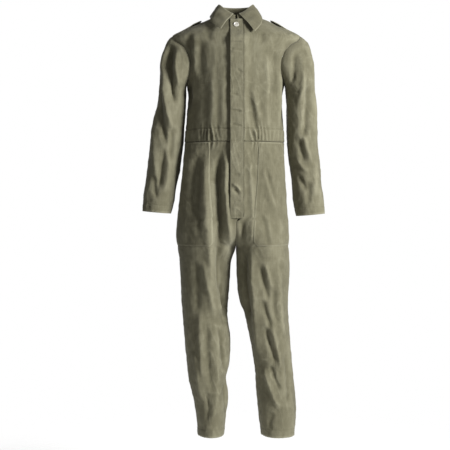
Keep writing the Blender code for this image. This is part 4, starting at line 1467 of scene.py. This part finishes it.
def collar():
    """The stand and the two halves of the turned-down collar, meeting at the centre back."""
    slit = math.radians(2.5)
    angles = np.linspace(-math.pi / 2 + slit, 1.5 * math.pi - slit, 97)
    grid = np.array([[ring_point(a, s) for a in angles] for s in np.linspace(1, 0, 9)])
    stand = Cloth("collar_stand_cloth", [grid])
    stand.lift(0.0004 * waves(stand.points, 91, 0.03))
    wear = 0.5 * wear_at(stand, [stand.edge(rows=0)], 0.003)
    piece = finish_cloth(stand, "torso", ["collar_stand"], wear, thickness=0.0018)
    steps = np.linspace(0, 1, 300)
    sew("stitching_collar_stand", piece, [trace_at(stand, 7.2, 1 + steps * 94)], "torso")
    for side in ("left", "right"):
        back = np.linspace(math.pi / 2, COLLAR_SIDE, 34)
        front = np.linspace(COLLAR_SIDE, COLLAR_FRONT, 36)[1:]
        columns = []
        for angle in np.concatenate([back, front]):
            fold = fold_point(angle if side == "left" else math.pi - angle) * (sign_of(side), 1, 1)
            edge = collar_edge(side, angle)
            v = np.linspace(0, 1, 19)[:, None]
            ahead = min(1.0, max(0.0, (COLLAR_SIDE - angle) / 0.5))
            out = np.array([math.cos(angle), math.sin(angle), 0.35 * ahead])
            out /= np.linalg.norm(out)
            bulge = 0.001 + 0.004 * ahead + 0.003 * max(0.0, math.sin(angle))
            columns.append(fold * (1 - v) + edge * v + out * 4 * v * (1 - v) * bulge)
        grid = np.stack(columns, axis=1) * (sign_of(side), 1, 1)
        leaf = Cloth(f"collar_{side}_cloth", [grid])
        lines = [loop_points(grid, cols=0), loop_points(grid, rows=0)]
        fade = away_from(leaf.points, lines, 0.02)
        leaf.lift(0.0016 * waves(leaf.points, 93 if side == "left" else 95, 0.05) * fade)
        edges = [leaf.edge(rows=-1), leaf.edge(cols=-1), leaf.edge(rows=0)]
        replaced = [f"collar_wing_{side}"] + (["collar_fall_back"] if side == "left" else [])
        piece = finish_cloth(leaf, "collar", replaced, wear_at(leaf, edges, 0.004), thickness=0.0020)
        last = grid.shape[1] - 1
        outer = np.stack([np.full(300, 16.6), steps * (last - 1.6)], axis=-1)
        ahead = np.stack([16.6 - steps * 14.6, np.full(300, last - 1.6)], axis=-1)
        sew(f"stitching_collar_{side}", piece, [trace(leaf, outer), trace(leaf, ahead)], "collar")


def epaulette(side):
    """A shoulder strap with a rounded end and a worked buttonhole."""
    sign = sign_of(side)
    u = np.linspace(0, 1, 41)[:, None]
    across = np.linspace(-1, 1, 15)[None, :]
    x = 0.2305 - 0.1045 * u
    shoulder = along(BODICE, np.linspace(1.466, NECK, 60))
    slope = np.interp(x, shoulder[::-1, 0], np.linspace(1.466, NECK, 60)[::-1])
    height = slope + 0.0016 + 0.0070 * smooth((u - 0.30) / 0.60)
    end = np.clip((u - 0.84) / 0.16, 0, 1)
    half = (0.0225 - 0.003 * u) * np.sqrt(np.clip(1 - 0.92 * end**2, 0, 1))
    y = half * across
    z = height + HEM_Z - (0.0045 - 0.0025 * u) * across**2
    grid = np.stack([sign * x + 0 * y, y, z], axis=-1)
    cloth = Cloth(f"epaulette_{side}_cloth", [grid])
    if cloth.normals[:, 2].mean() < 0:
        cloth.turn_over()
    cloth.lift(0.0005 * waves(cloth.points, 97, 0.03))
    edges = [cloth.edge(cols=0), cloth.edge(cols=-1), cloth.edge(rows=-1)]
    wear = wear_at(cloth, edges, 0.003)
    piece = finish_cloth(cloth, f"{side}_epaulette", [f"epaulette_{side}"], wear, thickness=0.0024)
    steps = np.linspace(0, 1, 120)
    rows = []
    for col in (1.6, 12.4):
        rows.append(trace_at(cloth, 0.8 + steps * 35, col))
    rows.append(trace_at(cloth, 36.6 + 1.4 * np.sin(math.pi * steps), 1.9 + steps * 10.2))
    turn = 2 * math.pi * steps
    rows.append(trace_at(cloth, 33.2 + 2.6 * np.cos(turn), 7 + 0.8 * np.sin(turn)))
    sew(f"stitching_epaulette_{side}", piece, rows, f"{side}_epaulette", 0.0026)


# Buttons and waist elastic -------------------------------------------------------------------------


BUTTON_PROFILE = [
    (0.00, 0.17), (0.20, 0.17), (0.36, 0.18), (0.44, 0.13), (0.52, 0.12), (0.62, 0.20), (0.72, 0.28),
    (0.84, 0.32), (0.94, 0.28), (1.00, 0.18), (0.96, 0.06), (0.84, 0.00), (0.00, 0.00),
]


def button(node, normal, finish):
    """A four-hole button with a rounded rim, sewn on with two bars of thread."""
    low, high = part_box(node)
    normal = Vector(normal).normalized()
    sizes = sorted(high - low)
    radius = sizes[2] / 2
    centre = (low + high) / 2 - normal * 0.16 * radius
    mesh = bpy.data.meshes.new(node + "_turned")
    steps, points, faces = 40, [], []
    for place, rise in BUTTON_PROFILE:
        for k in range(steps):
            turn = 2 * math.pi * k / steps
            points.append((place * radius * math.cos(turn), place * radius * math.sin(turn), rise * radius))
    for ring in range(len(BUTTON_PROFILE) - 1):
        for k in range(steps):
            a, b = ring * steps + k, ring * steps + (k + 1) % steps
            faces.append((a, a + steps, b + steps, b))
    mesh.from_pydata(points, [], faces)
    shape = bmesh.new()
    shape.from_mesh(mesh)
    bmesh.ops.remove_doubles(shape, verts=shape.verts, dist=1e-6)
    bmesh.ops.recalc_face_normals(shape, faces=shape.faces)
    shape.to_mesh(mesh)
    shape.free()
    mesh.materials.append(finish)
    made = bpy.data.objects.new(node + "_turned", mesh)
    bpy.context.scene.collection.objects.link(made)
    holes = [(0.2 * radius * i, 0.2 * radius * j) for i in (-1, 1) for j in (-1, 1)]
    for x, y in holes:
        size = {"radius": 0.085 * radius, "depth": radius}
        bpy.ops.mesh.primitive_cylinder_add(vertices=14, location=(x, y, 0.1 * radius), **size)
        drill = bpy.context.object
        finish_mesh(made, ("BOOLEAN", {"object": drill, "operation": "DIFFERENCE", "solver": "EXACT"}))
        bpy.data.objects.remove(drill)
    turn = normal.to_track_quat("Z", "Y").to_matrix().to_4x4()
    made.data.transform(Matrix.Translation(centre) @ turn)
    made.data.shade_smooth()
    made.data.set_sharp_from_angle(angle=math.radians(40))
    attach(made, "torso")
    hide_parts(node)
    template, stitch_faces = stitch_template()
    bars, polygons = [], []
    for y in (-0.2 * radius, 0.2 * radius):
        for shift in (-0.035, 0.035):
            scaled = template * (0.48 * radius, 0.035 * radius, 0.035 * radius)
            placed = scaled + (0, y + shift * radius, 0.185 * radius)
            polygons += [tuple(20 * len(bars) + i for i in face) for face in stitch_faces]
            bars.append(placed)
    thread = bpy.data.meshes.new(node + "_thread")
    thread.from_pydata(np.concatenate(bars).tolist(), [], polygons)
    thread.transform(Matrix.Translation(centre) @ turn)
    thread.shade_smooth()
    thread.materials.append(THREAD)
    sewn = bpy.data.objects.new(node + "_thread", thread)
    bpy.context.scene.collection.objects.link(sewn)
    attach(sewn, "torso")


def waist_band(node, low, high, inset, material, thickness):
    """A strip inside the back of the waist: the casing, or the elastic within it."""
    heights = np.linspace(high, low, 11)
    angles = np.radians(np.linspace(164, 16, 121))
    rows = []
    for height in heights:
        row = []
        for angle in angles:
            side = "left" if math.cos(angle) > 0 else "right"
            folded = angle if side == "left" else math.pi - angle
            point = bodice_surface(side, np.array([max(height, WAIST)]), np.array([[folded]]))[0, 0]
            away = np.array([math.cos(angle), math.sin(angle), 0])
            place = point - away * (inset + 0.0010 * math.sin(48 * angle))
            row.append((place[0], place[1], height + HEM_Z))
        rows.append(row)
    cloth = Cloth(node + "_cloth", [np.array(rows)])
    piece = finish_cloth(cloth, "torso", [node], None, thickness)
    piece.data.materials[0] = material
    piece.data.materials[1] = material


# Building it all -----------------------------------------------------------------------------------


for wearer_side in ("left", "right"):
    trousers(wearer_side)
bodice()
for wearer_side in ("left", "right"):
    sleeve(wearer_side)
fly()
collar()
for wearer_side in ("left", "right"):
    epaulette(wearer_side)
    button(f"epaulette_button_{wearer_side}", (sign_of(wearer_side) * 0.41, 0, 0.91), HORN)
for number in range(1, 7):
    button(f"fly_button_{number}", (0, -1, 0), HORN)
button("collar_button", (0, -0.90, 0.44), PEARL)
# The casing takes the darker inner twill, painted shade.
waist_band("waist_casing", 1.0670, 1.0980, 0.0085, INSIDE, 0.0012)
waist_band("waist_elastic", 1.0710, 1.0940, 0.0065, ELASTIC, 0.0010)


tack_low, tack_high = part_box("fly_bartack")
tack_x = np.linspace(tack_low.x, tack_high.x, 40)
tack_height = (tack_low.z + tack_high.z) / 2
tack_rows = []
for rise in (-0.0007, 0.0, 0.0007):
    line = np.broadcast_arrays(tack_x, tack_low.y, tack_height + rise)
    tack_rows.append((np.stack(line, axis=-1), np.tile((0.0, -1.0, 0.0), (40, 1))))
seat = bpy.data.objects["trousers_left"]
crotch_tack = sew("fly_bartack_thread", seat, tack_rows, "torso", 0.0012, 0.0006)
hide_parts("fly_bartack")


# Camera, light and floor ---------------------------------------------------------------------------

FRAME_WIDTH = 1.646
DISTANCE = 3.75
EYE = 0.90 + HEM_Z
AIM = 0.775 + HEM_Z
camera_data = bpy.data.cameras.new("camera")
camera_data.sensor_width = 36
camera_data.lens = 36 * DISTANCE / FRAME_WIDTH
camera_data.shift_y = (AIM - EYE) / FRAME_WIDTH
camera = bpy.data.objects.new("camera", camera_data)
camera.location = (-0.040, -DISTANCE, EYE)
camera.rotation_euler = (math.pi / 2, 0, 0)
bpy.context.scene.collection.objects.link(camera)
bpy.context.scene.camera = camera
bpy.context.scene.view_settings.view_transform = "Standard"


def soft_light(name, place, aim, size, power, colour=(1, 1, 1)):
    """A square soft light facing a point."""
    data = bpy.data.lights.new(name, "AREA")
    data.shape = "SQUARE"
    data.size = size
    data.energy = power
    data.color = colour
    lamp = bpy.data.objects.new(name, data)
    lamp.location = place
    lamp.rotation_euler = (Vector(aim) - Vector(place)).to_track_quat("-Z", "Y").to_euler()
    bpy.context.scene.collection.objects.link(lamp)


soft_light("key", (2.7, -2.1, 0.4), (0, 0, -0.75), 1.0, 236)
soft_light("fill", (-2.6, -3.6, 0.2), (0, 0, -0.8), 2.4, 20)
soft_light("back", (-1.2, 3.4, 0.6), (0, 0, -0.7), 2.0, 75)

world = bpy.data.worlds.new("studio")
bpy.context.scene.world = world
world.use_nodes = True
air = world.node_tree.nodes["Background"]
air.inputs["Color"].default_value = (1, 1, 1, 1)
path = world.node_tree.nodes.new("ShaderNodeLightPath")
strength = world.node_tree.nodes.new("ShaderNodeMapRange")
strength.inputs["To Min"].default_value = 0.16
strength.inputs["To Max"].default_value = 1.0
world.node_tree.links.new(path.outputs["Is Camera Ray"], strength.inputs["Value"])
world.node_tree.links.new(strength.outputs["Result"], air.inputs["Strength"])

floor_look = Look("floor", roughness=0.9, specular=0.1)
floor_look.shader.inputs["Base Color"].default_value = (0.86, 0.86, 0.85, 1)
floor_look.shader.inputs["Emission Color"].default_value = (1, 1, 1, 1)
floor_look.shader.inputs["Emission Strength"].default_value = 0.25
distance = floor_look.nodes.new("ShaderNodeVectorMath")
distance.operation = "LENGTH"
floor_look.put(distance.inputs[0], floor_look.nodes.new("ShaderNodeTexCoord").outputs["Object"])
fading = floor_look.nodes.new("ShaderNodeMapRange")
fading.interpolation_type = "SMOOTHSTEP"
fading.inputs["From Min"].default_value = 0.5
fading.inputs["From Max"].default_value = 1.9
fading.inputs["To Min"].default_value = 1.0
fading.inputs["To Max"].default_value = 0.0
floor_look.put(fading.inputs["Value"], distance.outputs["Value"])
floor_look.put(floor_look.shader.inputs["Alpha"], fading.outputs["Result"])
bpy.ops.mesh.primitive_circle_add(vertices=96, radius=2.0, fill_type="NGON", location=(0, 0, HEM_Z - 0.30))
floor = bpy.context.object
floor.name = "floor"
floor.data.materials.append(floor_look.material)
